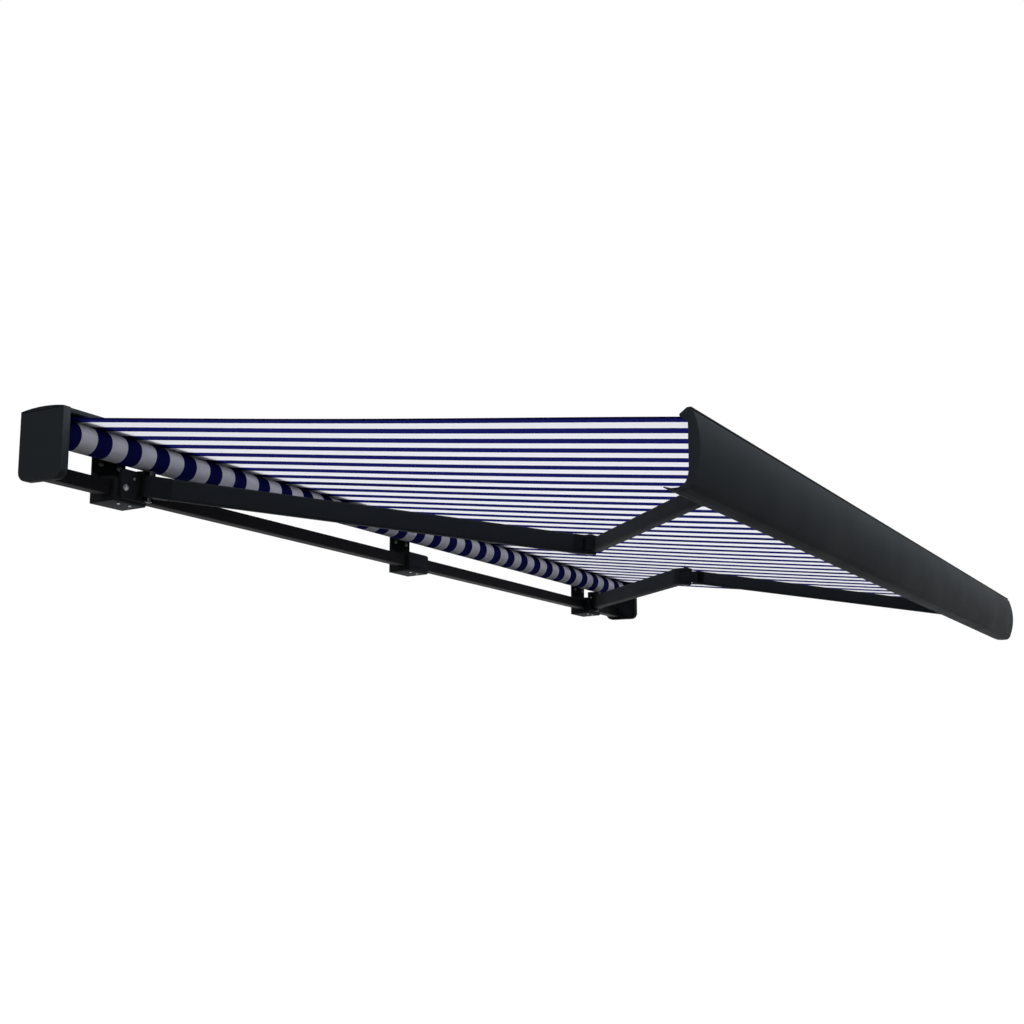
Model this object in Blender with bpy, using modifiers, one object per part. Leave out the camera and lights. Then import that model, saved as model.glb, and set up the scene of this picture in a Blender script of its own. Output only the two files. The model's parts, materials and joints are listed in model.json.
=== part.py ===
"""A cassette awning with folding arms: an aluminium hood on a square torsion bar, a fabric roller, two spring
arms and a front bar that pulls striped cloth out. Metres, +Z up, X along the wall, the wall at Y = 0, -Y outward.
The origin is the middle of the back face of the centre wall bracket. Left means the -X end."""

import math

import bmesh
import bpy
from mathutils import Matrix, Vector
from mathutils.geometry import convex_hull_2d

# Overall sizes
OVERALL_WIDTH = 5.0
FRONT_BAR_SHORTER = 0.07
CLOTH_NARROWER = 0.10
FIT_GAP = 0.0003

# Cassette: hood and end caps
CASSETTE_TOP = 0.140
CASSETTE_CROWN = 0.008
CASSETTE_FALL = 0.005
CASSETTE_TOP_STEP = 0.003
CASSETTE_FRONT = -0.200
CASSETTE_REAR = -0.009
CASSETTE_BOTTOM = -0.108
CAP_WIDTH = 0.028
CAP_PLATE = 0.004
CAP_RIM = 0.003
CAP_CORNER = 0.035
CAP_BOSS_RADIUS = 0.016
CAP_BOSS_PAST_ROLLER = 0.008
HOOD_INSET = 0.002
HOOD_WALL = 0.0025
HOOD_LIP_HEIGHT = 0.019
HOOD_REAR_FOOT = 0.051
HOOD_FOOT_DEPTH = 0.056
SEAL_WIDTH = 0.0035
SEAL_HEIGHT = 0.006
SEAL_SHORT_OF_HOOD = 0.01

# Torsion bar and its wall brackets
BAR_SIZE = 0.052
BAR_WALL = 0.004
BAR_Y = -0.070
BAR_Z = -0.069
BAR_SHORT_OF_CAP = 0.004
BAR_INNER_CORNER = 0.001
BAR_PLUG_FLANGE = 0.003
BAR_PLUG_DEPTH = 0.03
BRACKET_SPACING = 2.05
BRACKET_WIDTH = 0.175
BRACKET_PLATE = 0.008
BRACKET_TOP = 0.1213
BRACKET_JAW = 0.022
BRACKET_CHAMFER = 0.006
BRACKET_FALL = 0.004
BRACKET_NECK_RISE = 0.010
BRACKET_SLOPE_RISE = 0.035
CLAMP_WALL = 0.0157
CLAMP_CHAMFER = 0.008
WALL_BOLT_SPACING = 0.095
WALL_BOLT_Z = 0.030
WALL_BOLT_RADIUS = 0.005
WALL_BOLT_HEAD = 0.0095
WALL_BOLT_HEAD_HEIGHT = 0.006

# Roller and wound cloth
ROLLER_Y = -0.120
ROLLER_RADIUS = 0.0425
ROLLER_WALL = 0.002
ROLL_RADIUS = 0.050
ROLL_TOP_Z = 0.1134
ROLLER_END_ROOM = 0.014
AXLE_RADIUS = 0.008
MOTOR_RADIUS = 0.024
MOTOR_LENGTH = 0.55
MOTOR_HEAD_RADIUS = 0.036
PLUG_DEPTH = 0.03
PLUG_FLANGE = 0.005
CROWN_FLANGE = 0.004

# Cloth between the roller and the front bar
CLOTH_THICKNESS = 0.001
KEDER_RADIUS = 0.0032

# Front bar
FRONT_BAR_WEB_Y = -2.393
FRONT_BAR_TOP = -0.104
FRONT_BAR_HEIGHT = 0.2275
FRONT_BAR_FACE_OUT = 0.0115
FRONT_BAR_BULGE = 0.0225
FRONT_BAR_WALL = 0.003
FRONT_BAR_LIP_REACH = 0.074
FRONT_BAR_FACE_SHARE = 0.94
FRONT_BAR_CAP = 0.004
KEDER_FROM_TIP = 0.010
KEDER_BELOW_TOP = 0.0225
KEDER_SLOT = 0.0032
HOOK_DEPTH = 0.024
HOOK_HEIGHT = 0.034

# Folding arms
SHOULDER_FROM_BRACKET = 0.05
SHOULDER_Y = -0.155
SHOULDER_Z = -0.052
WRIST_Z = -0.230
WRIST_TO_WEB = 0.050
ARM_LENGTH = 1.816
ARM_OFFSET = 0.0235
UPPER_WIDTH = 0.045
UPPER_HEIGHT = 0.078
FOREARM_WIDTH = 0.040
FOREARM_HEIGHT = 0.060
TUBE_WALL = 0.003
TUBE_CORNER = 0.010
BLOCK_END = 0.075
BLOCK_CHAMFER = 0.0005
BLOCK_SETBACK = 0.004
SPIGOT_LENGTH = 0.032
SHOULDER_EYE = 0.028
SHOULDER_LUG = 0.030
SHOULDER_LUG_HEIGHT = 0.014
SHOULDER_BASE = 0.012
SHOULDER_BASE_OUT = 0.115
SHOULDER_BASE_IN = 0.045
SHOULDER_NECK = 0.004
ELBOW_EYE = 0.026
ELBOW_LUG = 0.028
ELBOW_LUG_HEIGHT = 0.012
ELBOW_NECK = 0.004
WRIST_EYE = 0.022
WRIST_LUG = 0.024
WRIST_LUG_HEIGHT = 0.010
WRIST_BASE = 0.012
WRIST_NECK = 0.006
WRIST_STEP = 0.006
WRIST_BASE_DEPTH = 0.040
PIN_RADIUS = 0.009
PIN_HEAD = 0.014
PIN_HEAD_HEIGHT = 0.004
PIVOT_GAP = 0.0012
PIN_TAIL = 0.003
SLOT_ROOM = 0.0005
CUT_REACH = 0.06
HOLE_REACH = 0.1
SPRING_RADIUS = 0.014
SPRING_WIRE = 0.003
SPRING_ROD = 0.006
SPRING_CHAIN = 0.004
SPRING_RIDGES = 18
SPRING_START_SHARE = 0.31
SPRING_END_SHARE = 0.92
PITCH_BOLT_RADIUS = 0.012
PITCH_BOLT_HEIGHT = 0.007
PITCH_BOLT_CHAMFER = 0.003
PITCH_BOLT_DROP = 0.014

# Colours from the photo: graphite powder coat, bare steel, navy and white cloth
GRAPHITE = (0.026, 0.028, 0.033)
CASTING = (0.034, 0.037, 0.041)
BLACK = (0.010, 0.010, 0.011)
STEEL = (0.42, 0.43, 0.44)
ALUMINIUM = (0.55, 0.56, 0.57)
GREY_PLASTIC = (0.30, 0.31, 0.32)
CLOTH = (0.36, 0.37, 0.45)
RUBBER = (0.012, 0.012, 0.012)

# Sizes that follow from the ones above
HALF_WIDTH = OVERALL_WIDTH / 2
FRONT_BAR_WIDTH = OVERALL_WIDTH - FRONT_BAR_SHORTER
CLOTH_WIDTH = OVERALL_WIDTH - CLOTH_NARROWER
SHOULDER_X = BRACKET_SPACING - SHOULDER_FROM_BRACKET
HOOD_HALF = HALF_WIDTH - CAP_WIDTH - FIT_GAP
ROLLER_Z = ROLL_TOP_Z - ROLL_RADIUS
ROLLER_HALF = HALF_WIDTH - CAP_WIDTH - ROLLER_END_ROOM
BAR_HALF = HALF_WIDTH - CAP_WIDTH - BAR_SHORT_OF_CAP
JAW_TOP = BAR_Z - BAR_SIZE / 2 - FIT_GAP
CLAMP_FRONT = BAR_Y - BAR_SIZE / 2 - FIT_GAP - CLAMP_WALL
FRONT_BAR_CHORD_Y = FRONT_BAR_WEB_Y - FRONT_BAR_FACE_OUT
FRONT_BAR_LIP_Y = FRONT_BAR_WEB_Y + FRONT_BAR_LIP_REACH
WRIST_Y = FRONT_BAR_WEB_Y + WRIST_TO_WEB
TUBE_RUN = math.sqrt(ARM_LENGTH**2 - ARM_OFFSET**2)
OFFSET_ANGLE = math.asin(ARM_OFFSET / ARM_LENGTH)
REACH = math.hypot(SHOULDER_Y - WRIST_Y, SHOULDER_Z - WRIST_Z)
BEND = math.acos(REACH / 2 / ARM_LENGTH)
PITCH = math.atan2(SHOULDER_Z - WRIST_Z, SHOULDER_Y - WRIST_Y)
OUTWARD = Vector((0, -math.cos(PITCH), -math.sin(PITCH)))
ARM_UP = Vector((0, -math.sin(PITCH), math.cos(PITCH)))
SHOULDER_SLOT = UPPER_HEIGHT / 2 + PIVOT_GAP
ELBOW_SLOT = UPPER_HEIGHT / 2 - ELBOW_LUG_HEIGHT
WRIST_SLOT = FOREARM_HEIGHT / 2 - WRIST_STEP
SHOULDER_START = SHOULDER_LUG + SHOULDER_NECK
ELBOW_START = ELBOW_LUG + ELBOW_NECK
WRIST_START = WRIST_LUG + WRIST_NECK
SIDES = {"left": -1, "right": 1}


def clear_scene():
    for obj in list(bpy.data.objects):
        bpy.data.objects.remove(obj)


def collection(name):
    made = bpy.data.collections.new(name)
    bpy.context.scene.collection.children.link(made)
    return made


clear_scene()
awning = collection("cassette_awning")
helpers = collection("cutters_and_joined_shapes")
helpers.hide_render = True


def paint(obj, colour, roughness, metallic):
    """Gives the object a Principled material of its own."""
    made = bpy.data.materials.new(obj.name + "_material")
    made.use_nodes = True
    shader = made.node_tree.nodes["Principled BSDF"]
    shader.inputs["Base Color"].default_value = (*colour, 1)
    shader.inputs["Roughness"].default_value = roughness
    shader.inputs["Metallic"].default_value = metallic
    made.diffuse_color = (*colour, 1)
    obj.data.materials.clear()
    obj.data.materials.append(made)
    return obj


def coated(obj):
    return paint(obj, GRAPHITE, 0.45, 0.0)


def cast(obj):
    return paint(obj, CASTING, 0.5, 0.0)


def steel(obj):
    return paint(obj, STEEL, 0.35, 1.0)


def helper(obj):
    """Moves a cutter or a joined shape out of the model."""
    awning.objects.unlink(obj)
    helpers.objects.link(obj)
    obj.hide_render = True
    obj.display_type = "WIRE"
    return obj


def cleaned(mesh):
    """Welds a mesh and turns its faces outward."""
    shape = bmesh.new()
    shape.from_mesh(mesh)
    bmesh.ops.remove_doubles(shape, verts=shape.verts, dist=0.00001)
    bmesh.ops.recalc_face_normals(shape, faces=shape.faces)
    shape.to_mesh(mesh)
    shape.free()


def plate(name, loops, thickness, frame):
    """A filled outline, the loops after the first being holes, with half its thickness each side of its frame."""
    curve = bpy.data.curves.new(name + "_outline", "CURVE")
    curve.dimensions = "2D"
    curve.fill_mode = "BOTH"
    curve.extrude = thickness / 2
    for loop in loops:
        spline = curve.splines.new("POLY")
        spline.points.add(len(loop) - 1)
        for point, (x, y) in zip(spline.points, loop):
            point.co = (x, y, 0, 1)
        spline.use_cyclic_u = True
    drawn = bpy.data.objects.new(name + "_outline", curve)
    helpers.objects.link(drawn)
    drawn.matrix_world = frame
    bpy.context.view_layer.update()
    evaluated = drawn.evaluated_get(bpy.context.evaluated_depsgraph_get())
    mesh = bpy.data.meshes.new_from_object(evaluated)
    mesh.name = name
    cleaned(mesh)
    obj = bpy.data.objects.new(name, mesh)
    obj.matrix_world = drawn.matrix_world
    awning.objects.link(obj)
    bpy.data.objects.remove(drawn)
    return obj


def section_frame(x):
    """A frame for outlines given as (Y, Z), with its thickness along X."""
    frame = Matrix(((0, 0, 1), (1, 0, 0), (0, 1, 0))).to_4x4()
    frame.translation = (x, 0, 0)
    return frame


def section(name, loops, start, end):
    """An extruded bar from X = start to X = end."""
    return plate(name, loops, abs(end - start), section_frame((start + end) / 2))


def arm_frame(place, bearing):
    """A frame at a pin: X along the arm, at this bearing from straight out, Z up the pin."""
    along = OUTWARD * math.cos(bearing) + Vector((1, 0, 0)) * math.sin(bearing)
    across = ARM_UP.cross(along)
    frame = Matrix((along, across, ARM_UP)).transposed().to_4x4()
    frame.translation = place
    return frame


def box(name, low, high, frame=None):
    mesh = bpy.data.meshes.new(name)
    shape = bmesh.new()
    bmesh.ops.create_cube(shape, size=1)
    size = [h - l for l, h in zip(low, high)]
    middle = [(h + l) / 2 for l, h in zip(low, high)]
    bmesh.ops.scale(shape, vec=size, verts=shape.verts)
    bmesh.ops.translate(shape, vec=middle, verts=shape.verts)
    shape.to_mesh(mesh)
    shape.free()
    obj = bpy.data.objects.new(name, mesh)
    obj.matrix_world = frame or Matrix.Identity(4)
    awning.objects.link(obj)
    return obj


def turned(name, profile, frame, steps=20, ring=False):
    """A round piece from (radius, height) points that run down its outer side, turned about the frame's Z."""
    mesh = bpy.data.meshes.new(name)
    shape = bmesh.new()
    points = [shape.verts.new((radius, 0, height)) for radius, height in profile]
    ends = points[1:] + points[:1] if ring else points[1:]
    for first, second in zip(points, ends):
        shape.edges.new((first, second))
    shape.to_mesh(mesh)
    shape.free()
    obj = bpy.data.objects.new(name, mesh)
    obj.matrix_world = frame
    awning.objects.link(obj)
    screw = obj.modifiers.new("Turn", "SCREW")
    screw.steps = steps
    screw.render_steps = steps
    screw.use_merge_vertices = True
    screw.merge_threshold = 0.00001
    screw.use_smooth_shade = True
    return obj


def boolean(obj, other, operation):
    """Keeps the other shape as a live cutter or joined shape."""
    step = obj.modifiers.new(operation.title(), "BOOLEAN")
    step.solver = "EXACT"
    step.operation = operation
    step.object = helper(other)
    return obj


def cut(obj, other):
    return boolean(obj, other, "DIFFERENCE")


def join(obj, other):
    return boolean(obj, other, "UNION")


def pivot(name, frame):
    """An empty on a joint's axis that carries the pieces that turn together."""
    made = bpy.data.objects.new(name, None)
    made.empty_display_size = CUT_REACH
    made.matrix_world = frame
    awning.objects.link(made)
    return made


def carried(obj, empty):
    """Parents a piece to its pivot and leaves it where it is."""
    obj.parent = empty
    obj.matrix_parent_inverse = empty.matrix_world.inverted()
    return obj


def arc(centre, radius, start, end, steps):
    """Points on an arc, angles in degrees."""
    turns = [math.radians(start + (end - start) * i / steps) for i in range(steps + 1)]
    return [(centre[0] + radius * math.cos(t), centre[1] + radius * math.sin(t)) for t in turns]


def circle(centre, radius, steps=20):
    return arc(centre, radius, 0, 360, steps)[:-1]


def rounded(low, high, radius, steps=3):
    """A rectangle with rounded corners."""
    (x0, y0), (x1, y1) = low, high
    corners = (((x1, y1), 0), ((x0, y1), 90), ((x0, y0), 180), ((x1, y0), 270))
    points = []
    for (x, y), start in corners:
        cx = x - radius if x == x1 else x + radius
        cy = y - radius if y == y1 else y + radius
        points += arc((cx, cy), radius, start, start + 90, steps)
    return points


def hull(points):
    return [points[i] for i in convex_hull_2d(points)]


def offset_line(points, distance):
    """The points moved to the left of their path, mitred at each corner."""
    moved = []
    for i, point in enumerate(points):
        here = Vector(point)
        ways = []
        if i:
            ways.append((here - Vector(points[i - 1])).normalized())
        if i + 1 < len(points):
            ways.append((Vector(points[i + 1]) - here).normalized())
        sides = [Vector((-way.y, way.x)) for way in ways]
        mitre = sum(sides, Vector((0, 0)))
        mitre /= mitre.dot(sides[0])
        moved.append(tuple(here + mitre * distance))
    return moved


def strip(points, thickness):
    """The outline of a sheet that follows a path, its thickness to the left."""
    return points + offset_line(points, thickness)[::-1]


def inset(points, distance):
    """A closed outline, given anticlockwise, moved inward."""
    wrapped = [points[-1]] + points + [points[0]]
    return offset_line(wrapped, distance)[1:-1]


def crown_points(front, rear, drop, steps=6):
    """The cassette's top line from front to rear, a flat arch."""
    points = []
    for i in range(steps + 1):
        share = i / steps
        y = front + (rear - front) * share
        rise = 4 * CASSETTE_CROWN * share * (1 - share) - CASSETTE_FALL * share
        points.append((y, CASSETTE_TOP + rise - drop))
    return points


def cap_outline():
    """The end cap seen from the end, anticlockwise in (Y, Z)."""
    bottom, front, rear = CASSETTE_BOTTOM, CASSETTE_FRONT, CASSETTE_REAR
    radius = CAP_CORNER
    points = arc((front + radius, bottom + radius), radius, 180, 270, 6)
    points += arc((rear - radius, bottom + radius), radius, 270, 360, 6)
    step = CASSETTE_TOP_STEP
    top = crown_points(front + step, rear - step, 0)[::-1]
    points += [(rear, top[0][1] - step)] + top + [(front, top[-1][1] - step)]
    return points


def make_hood():
    """The open aluminium hood with its front lip, and the brush seal under the lip."""
    front, rear = CASSETTE_FRONT + HOOD_INSET, CASSETTE_REAR - HOOD_INSET
    path = [(front, CASSETTE_TOP - HOOD_LIP_HEIGHT)]
    path += crown_points(front, rear, HOOD_INSET)
    path += [(rear, HOOD_REAR_FOOT), (rear - HOOD_FOOT_DEPTH, HOOD_REAR_FOOT)]
    hood = section("hood_profile", [strip(path, -HOOD_WALL)], -HOOD_HALF, HOOD_HALF)
    coated(hood)
    inner = front + HOOD_WALL + FIT_GAP
    foot = CASSETTE_TOP - HOOD_LIP_HEIGHT - 0.001
    low, high = (inner, foot), (inner + SEAL_WIDTH, foot + SEAL_HEIGHT)
    end = HOOD_HALF - SEAL_SHORT_OF_HOOD
    seal = section("hood_seal", [rounded(low, high, 0.001, 2)], -end, end)
    paint(seal, RUBBER, 0.8, 0.0)


def roller_frame(x, way):
    """A frame on the roller's axis whose Z points along X, to the left or the right."""
    frame = Matrix(((0, 0, way), (0, 1, 0), (-way, 0, 0))).to_4x4()
    frame.translation = (x, ROLLER_Y, ROLLER_Z)
    return frame


def make_cap(side, way):
    """An end cap: a shallow cup with bosses for the roller axle and the torsion bar."""
    name = f"cassette_cap_{side}"
    outer, inner = way * HALF_WIDTH, way * (HALF_WIDTH - CAP_WIDTH)
    outline = cap_outline()
    cap = section(name, [outline], inner, outer)
    pocket_end = way * (HALF_WIDTH - CAP_PLATE)
    pocket = section(name + "_pocket", [inset(outline, CAP_RIM)], inner - way * 0.01, pocket_end)
    cut(cap, pocket)
    boss_end = ROLLER_HALF + CAP_BOSS_PAST_ROLLER
    boss_low = HALF_WIDTH - CAP_PLATE / 2
    profile = [(0, boss_low), (CAP_BOSS_RADIUS, boss_low), (CAP_BOSS_RADIUS, boss_end), (0, boss_end)]
    boss = turned(name + "_boss", profile, roller_frame(0, way))
    join(cap, boss)
    bore_radius = AXLE_RADIUS + FIT_GAP
    bore_profile = [(0, boss_low), (bore_radius, boss_low), (bore_radius, boss_end - 0.01)]
    bore_profile.append((0, boss_end - 0.01))
    bore = turned(name + "_bore", bore_profile, roller_frame(0, way))
    cut(cap, bore)
    half = BAR_SIZE / 2 - BAR_WALL
    reach = BAR_HALF + BAR_PLUG_FLANGE + FIT_GAP
    low, high = sorted((way * reach, way * boss_low))
    seat = box(name + "_seat", (low, BAR_Y - half, BAR_Z - half), (high, BAR_Y + half, BAR_Z + half))
    join(cap, seat)
    coated(cap)


def make_torsion_bar():
    half = BAR_SIZE / 2
    low, high = (BAR_Y - half, BAR_Z - half), (BAR_Y + half, BAR_Z + half)
    inner_low = (low[0] + BAR_WALL, low[1] + BAR_WALL)
    inner_high = (high[0] - BAR_WALL, high[1] - BAR_WALL)
    loops = [rounded(low, high, BAR_WALL, 2), rounded(inner_low, inner_high, BAR_INNER_CORNER, 1)]
    bar = section("torsion_bar", loops, -BAR_HALF, BAR_HALF)
    paint(bar, BLACK, 0.4, 0.0)
    for side, way in SIDES.items():
        flange = section(
            f"torsion_plug_{side}",
            [rounded(low, high, BAR_WALL, 2)],
            way * (BAR_HALF + FIT_GAP),
            way * (BAR_HALF + BAR_PLUG_FLANGE),
        )
        room = BAR_WALL + 4 * FIT_GAP
        stub_low = (way * (BAR_HALF - BAR_PLUG_DEPTH), low[0] + room, low[1] + room)
        stub_high = (way * (BAR_HALF + BAR_PLUG_FLANGE / 2), high[0] - room, high[1] - room)
        lowest = (min(stub_low[0], stub_high[0]), *stub_low[1:])
        highest = (max(stub_low[0], stub_high[0]), *stub_high[1:])
        join(flange, box(f"torsion_stub_{side}", lowest, highest))
        paint(flange, RUBBER, 0.6, 0.0)


def bolt_frame(x, y, z):
    """A frame whose Z points outward from the wall."""
    frame = Matrix(((1, 0, 0), (0, 0, -1), (0, 1, 0))).to_4x4()
    frame.translation = (x, y, z)
    return frame


def make_bracket(side, x):
    """A wall bracket: a plate on the wall with a jaw under the torsion bar, its clamp and two wall bolts."""
    name = f"wall_bracket_{side}"
    rear = BAR_Y + BAR_SIZE / 2 + FIT_GAP
    shelf = JAW_TOP - BRACKET_JAW
    bar_top = BAR_Z + BAR_SIZE / 2
    slope = bar_top + BRACKET_SLOPE_RISE
    outline = [(0, BRACKET_TOP), (-BRACKET_PLATE, BRACKET_TOP), (-BRACKET_PLATE, slope)]
    outline += [(rear, bar_top + BRACKET_NECK_RISE), (rear, JAW_TOP), (CLAMP_FRONT, JAW_TOP)]
    outline += [(CLAMP_FRONT, shelf + BRACKET_CHAMFER), (CLAMP_FRONT + BRACKET_CHAMFER, shelf)]
    outline.append((0, shelf - BRACKET_FALL))
    half = BRACKET_WIDTH / 2
    bracket = section(name, [outline], x - half, x + half)
    for number, way in enumerate((-1, 1), 1):
        bolt_x = x + way * WALL_BOLT_SPACING / 2
        hole = WALL_BOLT_RADIUS + FIT_GAP
        profile = [(0, BRACKET_PLATE * 2), (hole, BRACKET_PLATE * 2), (hole, -0.01), (0, -0.01)]
        cut(bracket, turned(f"{name}_hole_{number}", profile, bolt_frame(bolt_x, 0, WALL_BOLT_Z), 12))
        face = BRACKET_PLATE + FIT_GAP
        head = face + WALL_BOLT_HEAD_HEIGHT
        profile = [(0, head), (WALL_BOLT_HEAD * 0.8, head), (WALL_BOLT_HEAD, head - 0.002)]
        profile += [(WALL_BOLT_HEAD, face), (WALL_BOLT_RADIUS, face), (WALL_BOLT_RADIUS, 0), (0, 0)]
        frame = bolt_frame(bolt_x, 0, WALL_BOLT_Z)
        steel(turned(f"wall_bolt_{side}_{number}", profile, frame, 12))
    cast(bracket)
    top = bar_top + FIT_GAP
    front = BAR_Y - BAR_SIZE / 2 - FIT_GAP
    lid = top + CLAMP_WALL
    outline = [(rear - 2 * FIT_GAP, top), (rear - 2 * FIT_GAP, lid)]
    outline += [(CLAMP_FRONT + CLAMP_CHAMFER, lid), (CLAMP_FRONT, lid - CLAMP_CHAMFER)]
    outline += [(CLAMP_FRONT, JAW_TOP + FIT_GAP)]
    outline += [(front, JAW_TOP + FIT_GAP), (front, top)]
    cast(section(f"bar_clamp_{side}", [outline], x - half, x + half))


def make_roller():
    """The fabric tube with its wound cloth, its end plug and crown, and the motor inside it."""
    inside = ROLLER_RADIUS - ROLLER_WALL
    centre = (ROLLER_Y, ROLLER_Z)
    loops = [circle(centre, ROLLER_RADIUS, 24), circle(centre, inside, 24)]
    tube = section("roller_tube", loops, -ROLLER_HALF, ROLLER_HALF)
    axis = pivot("roller_axis", roller_frame(0, 1))
    carried(paint(tube, ALUMINIUM, 0.4, 1.0), axis)
    loops = [circle(centre, ROLL_RADIUS, 32), circle(centre, ROLLER_RADIUS + FIT_GAP * 2, 32)]
    wound = section("cloth_roll", loops, -CLOTH_WIDTH / 2, CLOTH_WIDTH / 2)
    carried(paint(wound, CLOTH, 0.9, 0.0), axis)
    plug = inside - FIT_GAP * 2
    end, deep = ROLLER_HALF + FIT_GAP, ROLLER_HALF - PLUG_DEPTH
    stub = HALF_WIDTH - CAP_PLATE
    flange = end + PLUG_FLANGE
    profile = [(0, stub), (AXLE_RADIUS, stub), (AXLE_RADIUS, flange), (ROLLER_RADIUS, flange)]
    profile += [(ROLLER_RADIUS, end), (plug, end), (plug, deep), (0, deep)]
    carried(cast(turned("roller_plug_left", profile, roller_frame(0, -1))), axis)
    ring = MOTOR_RADIUS + FIT_GAP * 2
    flange = end + CROWN_FLANGE
    profile = [(ROLLER_RADIUS, flange), (ROLLER_RADIUS, end), (plug, end), (plug, deep)]
    profile += [(ring, deep), (ring, flange)]
    crown = turned("roller_crown_right", profile, roller_frame(0, 1), ring=True)
    carried(paint(crown, GREY_PLASTIC, 0.5, 0.0), axis)
    inner = ROLLER_HALF - MOTOR_LENGTH
    profile = [(0, flange), (MOTOR_RADIUS, flange), (MOTOR_RADIUS, inner), (0, inner)]
    paint(turned("tube_motor", profile, roller_frame(0, 1)), ALUMINIUM, 0.5, 1.0)
    face = flange + FIT_GAP
    outer = ROLLER_HALF + CAP_BOSS_PAST_ROLLER - FIT_GAP
    profile = [(0, stub), (AXLE_RADIUS, stub), (AXLE_RADIUS, outer), (MOTOR_HEAD_RADIUS, outer)]
    profile += [(MOTOR_HEAD_RADIUS, face), (0, face)]
    paint(turned("motor_head", profile, roller_frame(0, 1)), GREY_PLASTIC, 0.5, 0.0)


def face_points(steps=10):
    """The front bar's bulging face from top to bottom, a flat arch."""
    points = []
    for i in range(steps + 1):
        share = i / steps
        out = FRONT_BAR_BULGE * 4 * share * (1 - share)
        drop = FRONT_BAR_HEIGHT * FRONT_BAR_FACE_SHARE * share
        points.append((FRONT_BAR_CHORD_Y - out, FRONT_BAR_TOP - drop))
    return points


def keder_centre():
    return FRONT_BAR_WEB_Y + HOOK_DEPTH - KEDER_FROM_TIP, FRONT_BAR_TOP - KEDER_BELOW_TOP


def bar_outline():
    """The front bar as a C that opens towards the wall, anticlockwise in (Y, Z)."""
    web, top = FRONT_BAR_WEB_Y, FRONT_BAR_TOP
    bottom = top - FRONT_BAR_HEIGHT
    points = face_points()
    points += [(web, bottom + 0.002), (web + 0.028, bottom), (web + 0.054, bottom + 0.0025)]
    points += [(FRONT_BAR_LIP_Y, bottom + 0.0105), (FRONT_BAR_LIP_Y, bottom + 0.0145)]
    points += [(web + 0.052, bottom + 0.008), (web + 0.030, bottom + 0.0085)]
    points += [(web + 0.012, bottom + 0.018), (web + 0.004, bottom + 0.034), (web, bottom + 0.055)]
    points += [(web, top - HOOK_HEIGHT - 0.006), (web + HOOK_DEPTH - 0.008, top - HOOK_HEIGHT + 0.004)]
    points += [(web + HOOK_DEPTH, top - HOOK_HEIGHT + 0.010), (web + HOOK_DEPTH, top - 0.017)]
    points += [(web + HOOK_DEPTH - 0.012, top - 0.0085), (web + 0.002, top - 0.001)]
    return points


def make_front_bar():
    """The hollow front bar, its end caps, and the groove that holds the cloth's edge cord."""
    web, wall = FRONT_BAR_WEB_Y, FRONT_BAR_WALL
    face = [(y + wall, z) for y, z in face_points()[1:-2]]
    low = face[-1][1] - 0.002
    high = face[0][1]
    chamber = face + [(web - wall, low + 0.012), (web - wall, high)]
    end = FRONT_BAR_WIDTH / 2 - FRONT_BAR_CAP - FIT_GAP
    axis = pivot("front_bar_pivot", arm_frame(Vector((-SHOULDER_X, WRIST_Y, WRIST_Z)), 0))
    bar = section("front_profile", [bar_outline(), chamber], -end, end)
    groove = circle(keder_centre(), KEDER_RADIUS + FIT_GAP * 2, 12)
    cut(bar, section("keder_groove", [groove], -end - 0.01, end + 0.01))
    y, z = keder_centre()
    slot_low, slot_high = (-end - 0.01, y, z - KEDER_SLOT / 2), (end + 0.01, y + 0.03, z + KEDER_SLOT / 2)
    cut(bar, box("keder_slot", slot_low, slot_high))
    carried(coated(bar), axis)
    for side, way in SIDES.items():
        inner, outer = way * (end + FIT_GAP), way * FRONT_BAR_WIDTH / 2
        cap = section(f"front_cap_{side}", [bar_outline()], inner, outer)
        carried(coated(cap), axis)
    half = CLOTH_WIDTH / 2
    frame = Matrix(((0, 0, 1), (0, 1, 0), (-1, 0, 0))).to_4x4()
    frame.translation = (0, y, z)
    profile = [(0, half), (KEDER_RADIUS, half), (KEDER_RADIUS, -half), (0, -half)]
    carried(paint(turned("cloth_keder", profile, frame, 8), BLACK, 0.6, 0.0), axis)
    return axis


def make_cloth():
    """The stretched cloth, from where it leaves the roll to its edge cord in the front bar."""
    y, z = keder_centre()
    y += KEDER_RADIUS + FIT_GAP
    drop = (ROLL_TOP_Z - z) / (ROLLER_Y - y)
    slope = math.atan(drop)
    clear = ROLL_RADIUS + FIT_GAP + CLOTH_THICKNESS / 2
    start = (ROLLER_Y - clear * math.sin(slope), ROLLER_Z + clear * math.cos(slope))
    steps = 8
    path = []
    for i in range(steps + 1):
        share = i / steps
        path.append((y + (start[0] - y) * share, z + (start[1] - z) * share))
    across = CLOTH_THICKNESS / 2
    below = [(a, b - across) for a, b in path]
    above = [(a, b + across) for a, b in path]
    half = CLOTH_WIDTH / 2
    paint(section("cloth_sheet", [below + above[::-1]], -half, half), CLOTH, 0.9, 0.0)


def tube_loops(width, height, middle):
    """The two outlines of an arm tube, across by up, about a centreline that is offset across."""
    low, high = (middle - width / 2, -height / 2), (middle + width / 2, height / 2)
    inner_low = (low[0] + TUBE_WALL, low[1] + TUBE_WALL)
    inner_high = (high[0] - TUBE_WALL, high[1] - TUBE_WALL)
    return [rounded(low, high, TUBE_CORNER), rounded(inner_low, inner_high, TUBE_CORNER - TUBE_WALL)]


def along_arm(frame, x):
    """A frame for outlines given as (across, up) at a distance along the arm."""
    turn = Matrix(((0, 0, 1), (1, 0, 0), (0, 1, 0))).to_4x4()
    return frame @ Matrix.Translation((x, 0, 0)) @ turn


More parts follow.
